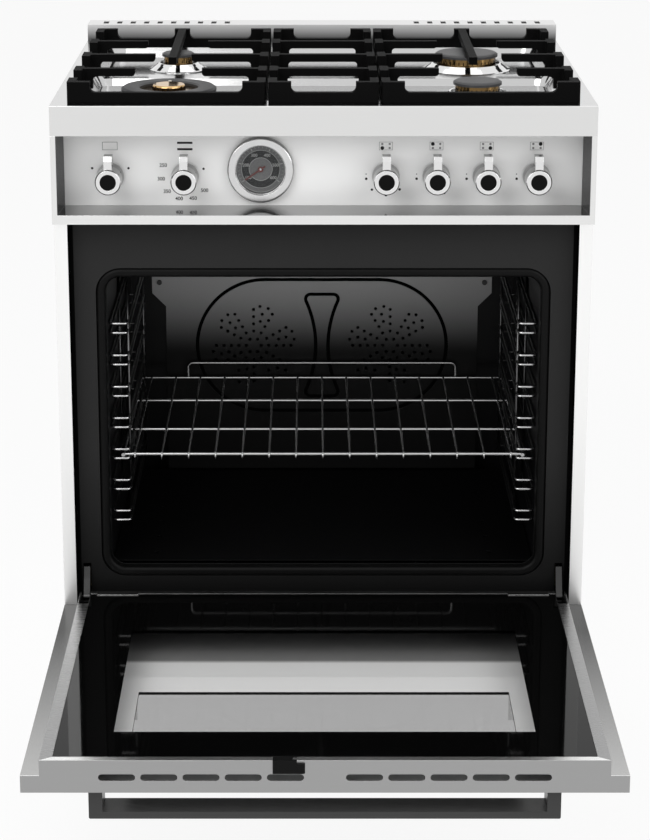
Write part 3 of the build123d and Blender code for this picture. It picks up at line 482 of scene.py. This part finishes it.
class Bench:
    """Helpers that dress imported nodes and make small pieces."""

    DISC_SIDES = 32
    DISC_CROWN = 0.86  # a printed disc's front radius over its back radius
    TURNED_SIDES = 48
    WIRE_SIDES = 12
    FIGURE_DEPTH = 0.00006  # half the depth of a printed figure
    FIGURE_WEIGHT = 0.018  # how much a figure's strokes swell, over its height

    @staticmethod
    def dress(names: str, finish: Dressing) -> None:
        """Give one finish to several nodes.

        Args:
            names: nodes, with spaces between.
            finish: their finish.
        """
        for name in names.split():
            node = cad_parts[name]
            node.data.materials.clear()
            node.data.materials.append(Finish.get(finish))

    @staticmethod
    def paint_faces(name: str, finish: Dressing, chosen: FaceTest) -> int:
        """Paint some faces of a node and count them."""
        return Bench.paint(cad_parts[name].data, finish, chosen)

    @staticmethod
    def paint(mesh: bpy.types.Mesh, finish: Dressing, chosen: FaceTest) -> int:
        """Give some faces of a mesh one more finish.

        Args:
            mesh: mesh to paint.
            finish: the added finish.
            chosen: test of a face's centre and normal.

        Returns:
            How many faces were painted.
        """
        mesh.materials.append(Finish.get(finish))
        count = 0
        for face in mesh.polygons:
            if chosen(face.center, face.normal):
                face.material_index = len(mesh.materials) - 1
                count += 1
        return count

    @staticmethod
    def piece(name: str, mesh: bmesh.types.BMesh, finish: Dressing, body: str,
              slot: Optional[str] = None, smooth: bool = False) -> bpy.types.Object:
        """Turn a bmesh into a piece that rides on a body.

        Args:
            name: piece name.
            mesh: geometry in the row frame.
            finish: its finish.
            body: body it moves with.
            slot: material slot of the record, if any; not used.
            smooth: smooth shading.

        Returns:
            The new object.
        """
        data = bpy.data.meshes.new(name)
        mesh.to_mesh(data)
        mesh.free()
        for face in data.polygons:
            face.use_smooth = smooth
        data.materials.append(Finish.get(finish))
        made = bpy.data.objects.new(name, data)
        bpy.context.scene.collection.objects.link(made)
        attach(made, body)
        LOG.info("piece %s: %d faces", name, len(data.polygons))
        return made

    @staticmethod
    def bar(mesh: bmesh.types.BMesh, low: Sequence[float], high: Sequence[float],
            turn: Optional[Matrix] = None) -> None:
        """Add a box.

        Args:
            mesh: mesh to add to.
            low: lowest corner.
            high: highest corner.
            turn: matrix that moves the box, if any.
        """
        spread = Matrix.Diagonal(Vector((high[0] - low[0], high[1] - low[1], high[2] - low[2], 1.0)))
        middle = Matrix.Translation((Vector(low) + Vector(high)) / 2)
        matrix = (turn or Matrix.Identity(4)) @ middle @ spread
        bmesh.ops.create_cube(mesh, size=1.0, matrix=matrix)

    @staticmethod
    def disc(mesh: bmesh.types.BMesh, place: Sequence[float], radius: float, tall: float) -> None:
        """Add a round disc with a crowned front, facing -Y.

        Args:
            mesh: mesh to add to.
            place: middle of its back.
            radius: radius of its back.
            tall: how far it stands out.
        """
        forward = Matrix.Rotation(math.pi / 2, 4, "X")
        matrix = Matrix.Translation(Vector(place)) @ forward @ Matrix.Translation((0, 0, tall / 2))
        bmesh.ops.create_cone(mesh, cap_ends=True, segments=Bench.DISC_SIDES, radius1=radius,
                              radius2=radius * Bench.DISC_CROWN, depth=tall, matrix=matrix)

    @staticmethod
    def turned(mesh: bmesh.types.BMesh, place: Sequence[float], profile: Sequence[Point],
               facing: Facing = Facing.FRONT) -> None:
        """Turn a profile about an axis along Y.

        Args:
            mesh: mesh to add to.
            place: point of the axis from which the profile stands out.
            profile: radius and stand-out of each point, from the middle to the edge.
            facing: side toward which it stands out.
        """
        sides = Bench.TURNED_SIDES
        rings = []
        for radius, out in profile:
            y = place[1] + facing.value * out
            if radius == 0.0:
                rings.append([mesh.verts.new((place[0], y, place[2]))] * sides)
                continue
            ring = []
            for k in range(sides):
                turn = 2 * math.pi * k / sides
                ring.append(mesh.verts.new((place[0] + radius * math.cos(turn), y,
                                            place[2] + radius * math.sin(turn))))
            rings.append(ring)
        for one, two in zip(rings, rings[1:]):
            for k in range(sides):
                corners = (one[k], one[(k + 1) % sides], two[(k + 1) % sides], two[k])
                mesh.faces.new(list(dict.fromkeys(corners)))
        bmesh.ops.recalc_face_normals(mesh, faces=mesh.faces)

    @staticmethod
    def tube(mesh: bmesh.types.BMesh, path: Sequence[Vector], radius: float, closed: bool = False) -> None:
        """Sweep a round wire along points.

        Args:
            mesh: mesh to add to.
            path: centre points.
            radius: wire radius.
            closed: joins the last point to the first.
        """
        sides = Bench.WIRE_SIDES
        rings = []
        count = len(path)
        for index, point in enumerate(path):
            before = path[index - 1] if closed or index else point
            after = path[(index + 1) % count] if closed or index < count - 1 else point
            along = (after - before).normalized()
            first = along.orthogonal().normalized() if abs(along.z) > SQUARE else Vector((0.0, 0.0, 1.0))
            second = along.cross(first)
            rings.append([mesh.verts.new(point + radius * (math.cos(turn) * first + math.sin(turn) * second))
                          for turn in (2 * math.pi * k / sides for k in range(sides))])
        pairs = list(zip(rings, rings[1:])) + ([(rings[-1], rings[0])] if closed else [])
        for one, two in pairs:
            for k in range(sides):
                mesh.faces.new((one[k], two[k], two[(k + 1) % sides], one[(k + 1) % sides]))
        if not closed:
            mesh.faces.new(rings[0])
            mesh.faces.new(list(reversed(rings[-1])))

    @staticmethod
    def number(text: str, height: float, place: Sequence[float], finish: Coating, body: str,
               name: str) -> None:
        """Add a plain number that faces -Y.

        Args:
            text: the figures.
            height: size of the figures.
            place: middle of the number.
            finish: its finish.
            body: body it moves with.
            name: piece name.
        """
        curve = bpy.data.curves.new(name + "_curve", "FONT")
        curve.body = text
        curve.size = height
        curve.align_x = "CENTER"
        curve.align_y = "CENTER"
        curve.extrude = Bench.FIGURE_DEPTH
        curve.offset = height * Bench.FIGURE_WEIGHT
        made = bpy.data.objects.new(name + "_curve", curve)
        bpy.context.scene.collection.objects.link(made)
        bpy.context.view_layer.update()
        graph = bpy.context.evaluated_depsgraph_get()
        data = bpy.data.meshes.new_from_object(made.evaluated_get(graph))
        bpy.data.objects.remove(made)
        data.transform(Matrix.Translation(Vector(place)) @ Matrix.Rotation(math.pi / 2, 4, "X"))
        data.materials.clear()
        mesh = bmesh.new()
        mesh.from_mesh(data)
        Bench.piece(name, mesh, finish, body)


@dataclass
class Cabinet:
    """Outer panels, base, feet and rear."""

    screw_head: tuple[Point, ...] = ((0.0, 0.0008), (0.0014, 0.0008), (0.0017, 0.0018), (0.0030, 0.0016),
                                     (0.0042, 0.0007), (0.0042, 0.0))
    screw_count: int = 6
    screw_margin: float = 0.04
    screw_inset: float = 0.016
    rear_step: float = 0.012
    rear_sheet: float = 0.0012

    def build(self) -> None:
        """Dress the panels and screw the rear panel on."""
        Bench.dress("side_panel_left side_panel_right", Finish.side)
        for name in ("side_panel_left", "side_panel_right"):
            # Painted shade: the side panels' inward faces are made near black.
            Bench.paint_faces(name, Finish.return_shade, lambda c, n: n.x * c.x < 0 and abs(n.x) > SQUARE)
        Bench.dress("kick_panel backguard", Finish.brushed)
        # Painted shade on the backguard's front face, darker towards its foot.
        Bench.paint_faces("backguard", Finish.guard_shade, lambda c, n: n.y < -SQUARE)
        Bench.dress("back_panel base_pan", Finish.zinc)
        Bench.dress("leveling_feet gas_manifold gas_valves", Finish.steel)
        self.rear_screws()

    def rear_screws(self) -> None:
        """Add a row of screw heads down both edges of the rear panel."""
        low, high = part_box("back_panel")
        face = low.y + self.rear_step + self.rear_sheet
        span = high.z - low.z - 2 * self.screw_margin
        mesh = bmesh.new()
        for side in SIDES:
            for step in range(self.screw_count):
                height = low.z + self.screw_margin + step * span / (self.screw_count - 1)
                place = (side * (high.x - self.screw_inset), face, height)
                Bench.turned(mesh, place, self.screw_head, Facing.REAR)
        Bench.piece("rear_screws", mesh, Finish.steel, "body", "steel")


@dataclass(frozen=True)
class Head:
    """A ring of flame ports: its place from the hob's front edge and top, and its size."""

    x: float
    back: float
    radius: float
    lift: float
    ports: int


@dataclass
class Hob:
    """Cooktop, grates and burners."""

    port_width: float = 0.0012
    port_proud: float = 0.0002
    port_depth: float = 0.001
    port_half: float = 0.0022
    crown_radius: float = 0.026
    front_edge: float = 0.002
    flat_slope: float = 0.2
    heads: tuple[Head, ...] = (
        Head(-0.222, 0.400, 0.022, -0.0005, 20), Head(0.222, 0.400, 0.045, -0.0005, 40),
        Head(0.222, 0.145, 0.032, -0.0005, 30), Head(-0.222, 0.145, 0.064, -0.006, 56),
        Head(-0.222, 0.145, 0.024, 0.0005, 20))

    def build(self) -> None:
        """Dress the hob, paint a highlight on the double burner's inner crown and add the flame ports."""
        Bench.dress("cooktop", Finish.brushed)
        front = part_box("cooktop")[0].y
        Bench.paint_faces("cooktop", Finish.hob,
                          lambda c, n: n.z > self.flat_slope and c.y > front + self.front_edge)
        Bench.dress("grate_left grate_centre grate_right", Finish.iron)
        Bench.dress("burner_cups", Finish.chrome)
        Bench.dress("burner_heads", Finish.brass)
        inner = self.heads[-1]

        def crowned(c: Vector, n: Vector) -> bool:
            """Whether a face is on the double burner's inner crown."""
            reach = math.hypot(c.x - inner.x, c.y - front - inner.back)
            return reach < self.crown_radius and n.z > -LEANING

        # Painted highlight: the inner crown gets the lighter copy of the brass.
        Bench.paint_faces("burner_heads", Finish.crown, crowned)
        Bench.dress("burner_caps", Finish.cap)
        Bench.dress("igniters", Finish.ceramic)
        self.ports()

    def ports(self) -> None:
        """Add the flame ports round each head as black slots: painted shade for the openings."""
        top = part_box("cooktop")[1].z
        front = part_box("cooktop")[0].y
        mesh = bmesh.new()
        for head in self.heads:
            middle = Matrix.Translation((head.x, front + head.back, top + head.lift))
            for step in range(head.ports):
                turn = middle @ Matrix.Rotation(2 * math.pi * step / head.ports, 4, "Z")
                Bench.bar(mesh, (head.radius - self.port_depth, -self.port_width / 2, -self.port_half),
                          (head.radius + self.port_proud, self.port_width / 2, self.port_half), turn)
        Bench.piece("flame_ports", mesh, Finish.black_shade, "body", "brass")


@dataclass
class Gauge:
    """The dial behind the gauge's glass."""

    floor_step: float = 0.001
    dial: tuple[Point, ...] = ((0.0018, 0.0004), (0.0165, 0.0004), (0.0167, 0.0006), (0.0343, 0.0006),
                               (0.0343, 0.0))
    band: tuple[Point, ...] = ((0.0169, 0.0006), (0.0169, 0.0008), (0.0268, 0.0008), (0.0268, 0.0006))
    rings: Triple = (0.0164, 0.0272, 0.0334)
    ring_half: float = 0.0003
    ring_rise: Point = (0.0006, 0.0009)
    first_turn: float = 125
    tick_turn: float = 10
    tick_count: int = 26
    ticks_per_figure: int = 5
    tick_depth: float = 0.00015
    short_tick: Point = (0.0003, 0.0300)
    long_tick: Point = (0.0006, 0.0282)
    tick_end: float = 0.0325
    figures: tuple[str, ...] = ("100", "200", "300", "400", "500", "600")
    figure_ring: float = 0.0218
    figure_height: float = 0.0062

    def build(self, face: float) -> None:
        """Fill the gauge with a stepped dial, ticks and plain numbers.

        Args:
            face: the fascia's front, along Y.
        """
        low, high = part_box("gauge_case")
        x, z = (low.x + high.x) / 2, (low.z + high.z) / 2
        floor = face - self.floor_step
        # Painted shade on the case's side walls, inside and out.
        Bench.paint_faces("gauge_case", Finish.shade, lambda c, n: abs(n.y) < LEANING)
        mesh = bmesh.new()
        Bench.turned(mesh, (x, floor, z), self.dial)
        Bench.piece("gauge_dial", mesh, Finish.dial, "body")
        mesh = bmesh.new()
        Bench.turned(mesh, (x, floor, z), self.band)
        Bench.piece("gauge_band", mesh, Finish.band, "body")
        self.ticks(x, floor, z)
        for step, text in enumerate(self.figures):
            angle = math.radians(90 + self.first_turn - self.tick_turn * self.ticks_per_figure * step)
            place = (x + self.figure_ring * math.cos(angle), floor - self.ring_rise[1],
                     z + self.figure_ring * math.sin(angle))
            Bench.number(text, self.figure_height, place, Finish.pale, "body", "dial_mark_" + text)

    def ticks(self, x: float, floor: float, z: float) -> None:
        """Print the rings and ticks, with a longer tick for each number.

        Args:
            x: middle of the dial.
            floor: the dial's back, along Y.
            z: middle of the dial.
        """
        mesh = bmesh.new()
        base, crest = self.ring_rise
        for ring in self.rings:
            inside, outside = ring - self.ring_half, ring + self.ring_half
            Bench.turned(mesh, (x, floor, z), ((inside, base), (inside, crest), (outside, crest),
                                               (outside, base)))
        for step in range(self.tick_count):
            angle = math.radians(self.first_turn - self.tick_turn * step)
            half, start = self.short_tick if step % self.ticks_per_figure else self.long_tick
            turn = Matrix.Translation((x, floor - base, z)) @ Matrix.Rotation(-angle, 4, "Y")
            Bench.bar(mesh, (-half, -self.tick_depth, start), (half, 0, self.tick_end), turn)
        Bench.piece("gauge_ticks", mesh, Finish.pale, "body")


@dataclass
class ControlPanel:
    """Recessed panel with its knobs, gauge and printed marks."""

    ink: float = 0.00012
    icon_height: float = 0.867
    icon_size: Point = (0.0216, 0.0118)
    outline_line: float = 0.0007
    burner_line: float = 0.0005
    burner_share: float = 0.88
    spot_reach: Point = (0.0052, 0.0029)
    spot_radius: float = 0.0016
    own_radius: float = 0.0026
    heat_reach: float = 0.0046
    heat_half: float = 0.0015
    cheek_sheet: float = 0.003
    ledge_gap: float = 0.0005
    knob_lean: float = 0.6
    cap_radius: float = 0.0115
    cap_sink: float = 0.0002
    dot_ring: float = 0.0280
    number_ring: float = 0.0345
    number_height: float = 0.0072
    number_start: float = 154
    number_turn: float = 33.6
    numbers: tuple[str, ...] = ("250", "300", "350", "400", "450", "500")
    face: float = field(default=0.0, init=False)
    knobs: dict[str, Point] = field(default_factory=dict, init=False)

    def build(self) -> None:
        """Dress the panel, its knobs and gauge, then print it."""
        Bench.dress("control_surround", Finish.polished)
        Bench.dress("control_fascia", Finish.fascia)
        self.shade_returns()
        Bench.dress("gauge_case", Finish.rim)
        Bench.dress("gauge_glass", Finish.glass)
        Bench.dress("gauge_needle", Finish.needle)
        Bench.dress("stem_oven stem_front_left stem_rear_left", Finish.steel)
        Bench.dress("stem_rear_right stem_front_right", Finish.steel)
        self.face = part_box("control_fascia")[0].y
        for name in ("selector", "oven", "front_left", "rear_left", "front_right", "rear_right"):
            low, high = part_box("knob_" + name)
            self.knobs[name] = ((low.x + high.x) / 2, low.z + (high.x - low.x) / 2)
            self.knob(name, low.y)
        self.icons()
        self.ranges()
        Gauge().build(self.face)

    def shade_returns(self) -> None:
        """Paint shade on the polished cheeks and the top of the ledge: painted reflections of the dark
        recess they mirror.
        """
        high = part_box("control_surround")[1]
        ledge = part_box("control_fascia")[0].z
        inner = high.x - self.cheek_sheet
        Bench.paint_faces("control_surround", Finish.shade,
                          lambda c, n: n.z > SQUARE and abs(c.z - ledge) < self.ledge_gap)
        Bench.paint_faces("control_surround", Finish.cheek_shade,
                          lambda c, n: abs(n.x) > LEANING and abs(c.x) < inner and c.z > ledge)

    def knob(self, name: str, nose: float) -> None:
        """Chrome a knob, paint shade on its sides and blacken the cap sunk in its front.

        Args:
            name: knob.
            nose: its foremost point, along Y.
        """
        x, z = self.knobs[name]
        Bench.dress("knob_" + name, Finish.chrome)
        # Painted shade: the knob's sides and the top of its lever get the dark polished finish, a painted
        # dark reflection.
        Bench.paint_faces("knob_" + name, Finish.shade, lambda c, n: n.y > -self.knob_lean)

        def sunk(c: Vector, n: Vector) -> bool:
            """Whether a face is the cap's front."""
            reach = math.hypot(c.x - x, c.z - z)
            return n.y < -SQUARE and reach < self.cap_radius and c.y > nose + self.cap_sink

        painted = Bench.paint_faces("knob_" + name, Finish.button, sunk)
        LOG.info("knob %s: %d cap faces", name, painted)

    def icons(self) -> None:
        """Print a plain icon over each knob: oven, heating bars, or which burner."""
        mesh = bmesh.new()
        back, fore = self.face, self.face - self.ink
        z = self.icon_height
        wide, tall = self.icon_size

        def stroke(x0: float, x1: float, z0: float, z1: float) -> None:
            """Add one printed bar."""
            Bench.bar(mesh, (x0, fore, z0), (x1, back, z1))

        def outline(x: float, across: float, line: float) -> None:
            """Add a printed rectangle.

            Args:
                x: its middle.
                across: its width.
                line: width of its line.
            """
            for side in SIDES:
                edge = z + side * (tall - line) / 2
                stroke(x - across / 2, x + across / 2, edge - line / 2, edge + line / 2)
                edge = x + side * (across - line) / 2
                stroke(edge - line / 2, edge + line / 2, z - tall / 2 + line, z + tall / 2 - line)

        def spot(knob: str, way: tuple[int, int], radius: float) -> None:
            """Add a burner's spot.

            Args:
                knob: knob under the icon.
                way: the burner's place, as signs to the right and to the rear.
                radius: size of the spot.
            """
            across, up = self.spot_reach
            place = (self.knobs[knob][0] + way[0] * across, back, z + way[1] * up)
            Bench.disc(mesh, place, radius, self.ink)

        own = {"front_left": (-1, -1), "rear_left": (-1, 1), "front_right": (1, -1), "rear_right": (1, 1)}
        outline(self.knobs["selector"][0], wide, self.outline_line)
        for name in own:
            outline(self.knobs[name][0], wide * self.burner_share, self.burner_line)
            for way in own.values():
                if way != own[name]:
                    spot(name, way, self.spot_radius)
        Bench.piece("panel_outlines", mesh, Finish.faint, "body")
        mesh = bmesh.new()
        x = self.knobs["oven"][0]
        for side in SIDES:
            middle = z + side * self.heat_reach
            stroke(x - wide / 2, x + wide / 2, middle - self.heat_half, middle + self.heat_half)
        for name, way in own.items():
            spot(name, way, self.own_radius)
        Bench.piece("panel_icons", mesh, Finish.mark, "body")

    def ranges(self) -> None:
        """Print the dots round each knob, as turn and radius, and the oven temperatures."""
        mesh = bmesh.new()
        dots = {"selector": ((157, 0.0017), (23, 0.0017)), "oven": ((21, 0.0017),),
                "front_left": ((175, 0.0008), (189, 0.0018), (226, 0.0017), (271, 0.0019), (315, 0.0019))}
        burner_dots = ((175, 0.0008), (189, 0.0018), (296, 0.0015))
        for name, (x, z) in self.knobs.items():
            for turn, radius in dots.get(name, burner_dots):
                angle = math.radians(turn)
                place = (x + self.dot_ring * math.cos(angle), self.face, z + self.dot_ring * math.sin(angle))
                Bench.disc(mesh, place, radius, self.ink)
        Bench.piece("panel_marks", mesh, Finish.mark, "body")
        x, z = self.knobs["oven"]
        for index, text in enumerate(self.numbers):
            angle = math.radians(self.number_start + self.number_turn * index)
            place = (x + self.number_ring * math.cos(angle), self.face - self.ink / 2,
                     z + self.number_ring * math.sin(angle))
            Bench.number(text, self.number_height, place, Finish.mark, "body", "oven_mark_" + text)


@dataclass
class Oven:
    """Front frame, liner, fan cover, ladders and rack."""

    rung_low: float = 0.303
    rung_pitch: float = 0.0478
    rung_pair: float = 0.014
    rung_count: int = 7
    rung_radius: float = 0.0019
    rung_bend: float = 0.005
    bend_step: int = 15
    lit_depth: float = 0.007
    post_inset: float = 0.021
    wire_pitch: float = 0.0394
    wire_count: int = 15
    wire_radius: float = 0.0016
    hook: tuple[Point, ...] = ((0.002, 0.0), (0.0, 0.0006), (-0.0008, 0.0022), (-0.0008, 0.0085))
    line_depth: Point = (0.0005, 0.0013)
    seam_width: float = 0.005
    seam_proud: float = 0.0003
    seam_sunk: float = 0.0002
    seam_lift: float = 0.02

    def build(self) -> None:
        """Dress the oven."""
        Bench.dress("front_frame", Finish.shaded_enamel)
        self.seams()
        Bench.dress("oven_liner fan_left fan_right fan_motors", Finish.liner)
        Bench.dress("oven_floor", Finish.hearth)
        Bench.dress("fan_cover", Finish.cover)
        Bench.dress("oven_rack rack_rail", Finish.wires)
        for name in ("ladder_left", "ladder_right"):
            self.ladder(name)
        Bench.dress("door_gasket", Finish.rubber)
        Bench.dress("insulation", Finish.wool)
        Bench.dress("oven_lamp", Finish.lens)
        Bench.dress("bake_burner broil_burner", Finish.steel)
        Bench.dress("hinge_arms", Finish.hinge)
        self.hooks()
        Bench.dress("cover_screws", Finish.paint)
        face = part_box("fan_cover")[0].y
        shallow, deep = self.line_depth
        # Painted shade: the floors of the pressed lines on the fan cover are made black.
        lines = Bench.paint_faces("fan_cover", Finish.black_shade,
                                  lambda c, n: n.y < -SQUARE and shallow < c.y - face < deep)
        LOG.info("fan cover: %d faces in pressed lines", lines)

    def ladder(self, name: str) -> None:
        """Bend a ladder from round wire: pairs of long loops on four posts.

        Args:
            name: ladder that the wires stand for.
        """
        low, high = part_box(name)
        radius = self.rung_radius
        middle = (low + high) / 2
        reach = (high - low) / 2
        wide, deep = reach.x - radius, reach.y - radius
        mesh = bmesh.new()
        for level in range(self.rung_count):
            for lift in (0.0, self.rung_pair):
                z = self.rung_low + level * self.rung_pitch + lift
                path = []
                for start, sx, sy in ((0, 1, 1), (90, -1, 1), (180, -1, -1), (270, 1, -1)):
                    corner = Vector((middle.x + sx * (wide - self.rung_bend),
                                     middle.y + sy * (deep - self.rung_bend), z))
                    for turn in range(start, start + 91, self.bend_step):
                        angle = math.radians(turn)
                        outward = Vector((math.cos(angle), math.sin(angle), 0.0))
                        path.append(corner + self.rung_bend * outward)
                Bench.tube(mesh, path, radius, closed=True)
        inward = -1 if middle.x > 0 else 1
        posts = ((inward, low.y + self.post_inset), (inward, high.y - self.post_inset),
                 (-inward, middle.y), (-inward, high.y - self.post_inset))
        for side, y in posts:
            x = middle.x + side * wide
            Bench.tube(mesh, [Vector((x, y, low.z)), Vector((x, y, high.z))], radius)
        made = Bench.piece(name + "_wires", mesh, Finish.wires, "body", "chrome", True)
        # Painted shade: wires deeper in the oven than the lit front get the dark copy of the chrome.
        Bench.paint(made.data, Finish.wires_in_painted_shade, lambda c, n: c.y > low.y + self.lit_depth)
        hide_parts(name)

    def seams(self) -> None:
        """Fill the gaps beside the front frame with thin black strips: painted shade where the gaps are."""
        low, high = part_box("front_frame")
        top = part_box("control_surround")[0].z
        mesh = bmesh.new()
        for side in SIDES:
            edges = sorted((side * high.x, side * (high.x - self.seam_width)))
            Bench.bar(mesh, (edges[0], low.y - self.seam_proud, low.z + self.seam_lift),
                      (edges[1], low.y + self.seam_sunk, top))
        Bench.piece("frame_seams", mesh, Finish.black_shade, "body")

    def hooks(self) -> None:
        """Bend the front ends of the rack's long wires down over its front bar."""
        low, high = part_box("oven_rack")
        radius = self.wire_radius
        top = high.z - radius
        start = low.y + radius
        mesh = bmesh.new()
        for step in range(self.wire_count):
            x = (step - (self.wire_count - 1) / 2) * self.wire_pitch
            path = [Vector((x, start + back, top - drop)) for back, drop in self.hook]
            Bench.tube(mesh, path, radius)
        Bench.piece("rack_hooks", mesh, Finish.wires, "rack", "chrome", True)


@dataclass
class Door:
    """The drop-down door, which lies open at rest, with its inside up."""

    window_half: float = 0.2695
    window_length: float = 0.327
    window_from_end: float = 0.082
    outer_window: Triple = (0.252, -0.4043, 0.103)
    lining_depth: float = 0.004
    lip_depth: float = 0.002
    lip_shade_reach: float = 0.10
    plate_depth: float = 0.003
    edge_depth: float = 0.02

    def build(self) -> None:
        """Dress the door."""
        self.sheets()
        Bench.dress("glass_clips", Finish.polished)
        self.panes()
        Bench.dress("door_handle", Finish.paint)
        Bench.dress("door_catch", Finish.plastic)
        Bench.dress("hinge_channels hinge_pins", Finish.hinge)

    def panes(self) -> None:
        """Dress the inner glass, and the outer glass with its border black outside and pale inside, the pale
        being painted light.
        """
        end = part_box("door_frame")[0].y
        middle = end + self.window_from_end + self.window_length / 2
        window = (self.window_half, middle, self.window_length / 2)
        inner = Pane("bordered_glass", grey(0.002), cover=0.04, window=window, gloss=0.15)
        # Painted light: the pale inner border of the outer glass stands in for the bright lit area seen
        # through the door window.
        outer = Pane("tinted_glass_painted_light_border", grey(0.02), cover=0.34, window=self.outer_window,
                     border=grey(0.94, -0.005))
        outside = Pane("outer_face_glass", grey(0.02), cover=0.34, window=self.outer_window)
        Bench.dress("door_inner_glass", inner)
        Bench.dress("door_outer_glass", outer)
        Bench.paint_faces("door_outer_glass", outside, lambda c, n: n.z < -SQUARE)

    def sheets(self) -> None:
        """Dress the folded sheets with painted light: a bright lining, lips, frame and end plate with
        painted shade, and a painted highlight on the edge.
        """
        Bench.dress("door_skin", Finish.skin)
        # Painted shade: the door frame gets the dim copy of the stainless.
        Bench.dress("door_frame", Finish.door)
        low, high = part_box("door_skin")
        # Painted shade on the lips: darkest near the hinge end, full tone towards the near edge.
        fade = Fade(Axis.Y, start=high.y - self.lip_shade_reach, end=low.y, low=0.1)
        shaded_lip = Metal("lip_painted_shade", grey(0.52, -0.005), grey(0.46, -0.005), 0.22, 0.06,
                    Grain.ALONG_Y, 0.008, fade=fade)
        # Painted light: the lining's face gets the bright lining with its painted shade.
        Bench.paint_faces("door_skin", Finish.lining,
                          lambda c, n: n.z > SQUARE and c.z < low.z + self.lining_depth)
        Bench.paint_faces("door_skin", shaded_lip, lambda c, n: n.z > SQUARE and c.z > high.z - self.lip_depth)
        near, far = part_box("door_frame")
        # Painted shade on the end plate.
        Bench.paint_faces("door_frame", Finish.plate,
                          lambda c, n: n.y < -SQUARE and c.y < near.y + self.plate_depth)
        # Painted highlight along the door's near edge.
        Bench.paint_faces("door_frame", Finish.edge,
                          lambda c, n: n.z > SQUARE and c.y < near.y + self.edge_depth)
        # Painted shade: the faces at the hinge end, towards the oven, are made black.
        Bench.paint_faces("door_frame", Finish.black_shade,
                          lambda c, n: n.y > LEANING and c.y > far.y - self.plate_depth)


@dataclass(frozen=True)
class Lamp:
    """A square soft light."""

    name: str
    place: Triple
    size: float
    power: float


@dataclass
class Studio:
    """Floor, soft light and the photograph's camera."""

    lamps: tuple[Lamp, ...] = (Lamp("key", (-1.8, -2.6, 2.8), 2.6, 66.0),
                               Lamp("fill", (2.4, -2.2, 2.2), 2.4, 40.0),
                               Lamp("top", (0.0, 0.3, 3.4), 2.2, 12.0))
    aim: Triple = (0.0, -0.1, 0.6)
    daylight: float = 0.5
    floor_size: float = 30.0
    floor_drop: float = 0.0005
    floor_tone: float = 0.93
    floor_glow: float = 0.9
    spot: Triple = (-0.0166, -3.2887, 1.5262)
    tilt: float = 14.865
    lens: float = 101.77
    sensor: float = 36.0
    shift: Point = (0.0159, -0.15)

    def build(self) -> None:
        """Make the studio."""
        self.world()
        self.floor()
        for lamp in self.lamps:
            self.light(lamp)
        self.camera()
        bpy.context.scene.view_settings.view_transform = "Standard"

    @staticmethod
    def seen(shader: Shader) -> Signal:
        """Tell where white is seen: by the camera, in reflections and through glass.

        Args:
            shader: the floor's or the world's shader.

        Returns:
            One on those rays, and zero on rays that light the range.
        """
        camera, glossy, through = (shader.node("ShaderNodeLightPath", output=name) for name in
                                   ("Is Camera Ray", "Is Glossy Ray", "Is Transmission Ray"))
        return camera.either(glossy).either(through)

    def world(self) -> None:
        """White where it is seen, soft grey where it lights."""
        made = bpy.data.worlds.new("studio_world")
        made.use_nodes = True
        bpy.context.scene.world = made
        shader = Shader(made.node_tree)
        strength = self.seen(shader) * (1.0 - self.daylight) + self.daylight
        sky = shader.node("ShaderNodeBackground", inputs={"Color": WHITE, "Strength": strength})
        shader.close(sky, "ShaderNodeOutputWorld")

    def floor(self) -> None:
        """A pale floor that keeps the object's shadow."""
        mesh = bmesh.new()
        bmesh.ops.create_grid(mesh, x_segments=1, y_segments=1, size=self.floor_size)
        data = bpy.data.meshes.new("studio_floor")
        mesh.to_mesh(data)
        mesh.free()
        made = bpy.data.objects.new("studio_floor", data)
        made.location.z = -self.floor_drop
        bpy.context.scene.collection.objects.link(made)
        material, shader = Shader.material("studio_floor")
        matte = shader.node("ShaderNodeBsdfDiffuse", inputs={"Color": (*grey(self.floor_tone), 1.0)})
        glow = shader.node("ShaderNodeEmission", inputs={"Color": WHITE, "Strength": 1.0})
        factor = self.seen(shader) * self.floor_glow
        shader.close(shader.node("ShaderNodeMixShader", inputs={0: factor, 1: matte, 2: glow}))
        data.materials.append(material)

    def light(self, lamp: Lamp) -> None:
        """Hang a lamp and aim it at the range.

        Args:
            lamp: the lamp.
        """
        data = bpy.data.lights.new(lamp.name, "AREA")
        data.size = lamp.size
        data.energy = lamp.power
        made = bpy.data.objects.new(lamp.name, data)
        made.location = lamp.place
        aim = Vector(self.aim) - Vector(lamp.place)
        made.rotation_euler = aim.to_track_quat("-Z", "Y").to_euler()
        bpy.context.scene.collection.objects.link(made)

    def camera(self) -> None:
        """The photograph's viewpoint, looking slightly down."""
        data = bpy.data.cameras.new("camera")
        data.sensor_fit = "AUTO"
        data.sensor_width = self.sensor
        data.lens = self.lens
        data.shift_x, data.shift_y = self.shift
        made = bpy.data.objects.new("camera", data)
        made.location = self.spot
        made.rotation_euler = (math.radians(90.0 - self.tilt), 0.0, 0.0)
        bpy.context.scene.collection.objects.link(made)
        bpy.context.scene.camera = made


def main() -> None:
    """Dress every sub-assembly."""
    logging.basicConfig(level=logging.INFO, format="%(name)s: %(message)s")
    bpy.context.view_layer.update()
    for part in (Cabinet(), Hob(), ControlPanel(), Oven(), Door(), Studio()):
        part.build()
        LOG.info("built %s", type(part).__name__)


if __name__ == "__main__":
    main()
